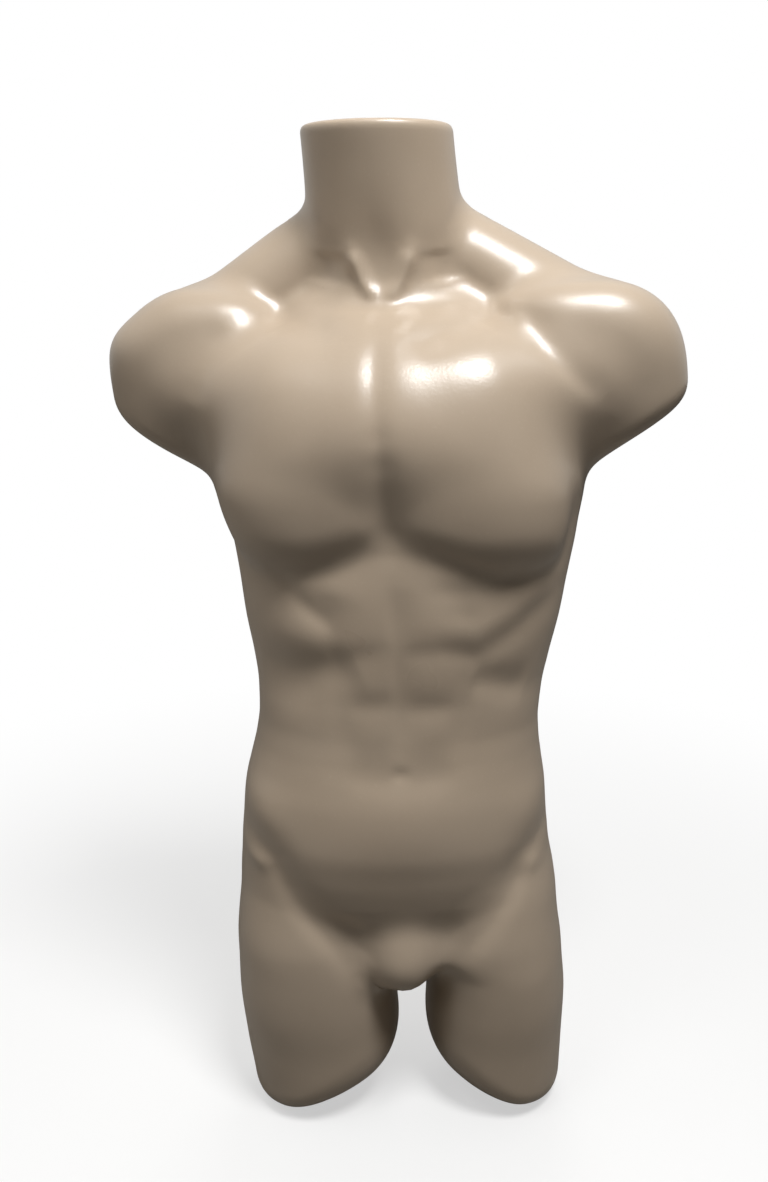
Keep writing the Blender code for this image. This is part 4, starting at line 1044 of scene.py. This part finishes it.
def wing_knob():
    """Hub with two wings drawn out of it."""
    low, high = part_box("clamp_screw_wings")
    half_span = (high.x - low.x) / 2
    hub = min(0.0052, (high.z - low.z) / 2)
    deep = high.y - low.y
    sides = 16
    levels = [(0.0, 0.86), (0.10, 1.0), (0.45, 1.0), (0.80, 0.90), (1.0, 0.62)]  # depth, radius
    # shares: reach of the half span, height, thickness and its divisor, rise along Y
    stations = [(0.45, 0.95, 0.80, 1.0, 0.00), (0.80, 1.05, 0.62, 0.9, 0.06),
                (1.0, 0.80, 0.50, 0.9, 0.10)]
    middle = low.y + deep * 0.56
    shape = bmesh.new()
    rings = []
    for part, size in levels:
        rings.append([
            shape.verts.new(
                around_clamp(hub * size, 2 * math.pi * (k + 0.5) / sides, low.y + deep * part))
            for k in range(sides)])
    for near, far in zip(rings, rings[1:]):
        bridge(shape, near, far)
    shape.faces.new(rings[0][::-1])
    shape.faces.new(rings[-1])
    for side in (1, -1):
        root = None
        for reach, tall, thin, divisor, rise in stations:
            shape.normal_update()
            if root is None:
                root = [
                    face for face in shape.faces if face.normal.x * side > 0.85
                    and low.y + deep * 0.2 < face.calc_center_median().y < low.y + deep * 0.92]
            drawn = bmesh.ops.extrude_face_region(shape, geom=root)["geom"]
            moved = [item for item in drawn if isinstance(item, bmesh.types.BMVert)]
            fresh = [item for item in drawn if isinstance(item, bmesh.types.BMFace)]
            bmesh.ops.delete(shape, geom=root, context="FACES_ONLY")
            for vert in moved:
                y = middle + (vert.co.y - middle) * tall + deep * rise
                vert.co.x = side * half_span * reach
                vert.co.y = min(high.y, max(low.y, y))
                vert.co.z = clamp_z + (vert.co.z - clamp_z) * thin / divisor
            root = fresh
    knob = put("clamp_wings_moulding", mesh_of(shape, "clamp_wings_moulding"))
    rounded = knob.modifiers.new("rounded", "SUBSURF")
    rounded.levels = rounded.render_levels = 2
    bake(knob)
    knob.data.shade_smooth()
    register(knob, "clamp_screw_wings", "clamp_wings")
    wear(knob, BLACK)


socket_sleeve()
weld_nut()
clamp_screw()
wing_knob()


# ================================================================ floor, light, camera
def pale_floor():
    """To the eye it runs out into the pale wall; to the figure it is a dim shop floor."""
    mat = Graph(bpy.data.materials.new("pale_floor"))
    dust = mat.noise(scale=3.0, detail=4.0, rough=0.5)
    base = mat.mix(dust, rgb(0.84, 0.84, 0.83), rgb(0.88, 0.88, 0.87))
    mat.out(Base_Color=base, Roughness=0.8)
    distance = mat.wire(mat.add("ShaderNodeVectorMath", operation="LENGTH"), _0=mat.where)
    near = mat.span(distance.outputs["Value"], over=(0.35, 1.3), to=(0.45, 0.0), smooth=True)
    seen = mat.add("ShaderNodeLightPath").outputs["Is Camera Ray"]
    white = mat.wire(mat.add("ShaderNodeEmission"), Color=rgb(1.0, 1.0, 1.0), Strength=1.0)
    dim = mat.wire(mat.add("ShaderNodeBsdfDiffuse"), Color=rgb(0.20, 0.19, 0.175))
    half = mat.mix_shader(near, white.outputs[0], mat.shader.outputs[0])
    chosen = mat.mix_shader(seen, dim.outputs[0], half)
    mat.wire(mat.tree.nodes["Material Output"], Surface=chosen)
    return mat.owner


def studio():
    """Pale walls behind and beside the figure, a dim room behind the camera."""
    sky = Graph(bpy.data.worlds.new("studio"), shader="Background", coordinates="Generated")
    split = sky.wire(sky.add("ShaderNodeSeparateXYZ"), _0=sky.where)
    strength = sky.span(split.outputs["Y"], over=(-0.35, 0.65), to=(0.035, 0.50), smooth=True)
    sky.out(Color=rgb(1.0, 0.99, 0.97), Strength=strength)
    clear = sky.wire(sky.add("ShaderNodeBackground"), Color=rgb(1.0, 1.0, 1.0))
    seen = sky.add("ShaderNodeLightPath").outputs["Is Camera Ray"]
    chosen = sky.mix_shader(seen, sky.shader.outputs[0], clear.outputs[0])
    sky.wire(sky.tree.nodes["World Output"], Surface=chosen)
    return sky.owner


def lamp(name, at, aim, size, power):
    light = bpy.data.lights.new(name, "AREA")
    light.shape, light.size, light.energy = "DISK", size, power
    holder = bpy.data.objects.new(name, light)
    scene.collection.objects.link(holder)
    holder.location = at
    holder.rotation_euler = (Vector(aim) - Vector(at)).to_track_quat("-Z", "Y").to_euler()
    return holder


FLOOR_REACH = 9.0
ground = float(outer_points[:, 2].min()) - 0.0005
shape = bmesh.new()
shape.faces.new([
    shape.verts.new((x * FLOOR_REACH, y * FLOOR_REACH, ground))
    for x, y in ((-1, -1), (1, -1), (1, 1), (-1, 1))])
floor = put("floor", mesh_of(shape, "floor"))
wear(floor, pale_floor())
scene.world = studio()

lamp("key", at=(0.36, -0.80, 1.88), aim=(0.0, 0.0, 0.50), size=0.60, power=36.5)
# name, place, aim, diameter, watts: lamps that leave no highlight
for name, at, aim, size, power in (
    ("ceiling_left", (-0.65, -0.75, 1.80), (0.0, 0.0, 0.50), 0.6, 6),
    ("fill", (-1.5, -0.20, 0.9), (0.0, 0.0, 0.35), 1.0, 4.0),
    ("rim", (0.2, 1.5, 1.6), (0.0, 0.0, 0.4), 1.0, 8),
):
    lamp(name, at, aim, size, power).visible_glossy = False

LOOK_DOWN = 14.5  # degrees below level
eye = bpy.data.cameras.new("eye")
camera = bpy.data.objects.new("eye", eye)
scene.collection.objects.link(camera)
camera.location = (-0.0278, -0.905, 0.530)
camera.rotation_euler = (math.radians(90 - LOOK_DOWN), 0, 0)
eye.sensor_fit = "AUTO"
eye.sensor_width = 24.0
eye.lens = 20.304568528
eye.shift_y = 0.000507614213
eye.clip_start, eye.clip_end = 0.05, 50
scene.camera = camera
scene.view_settings.view_transform = "Standard"
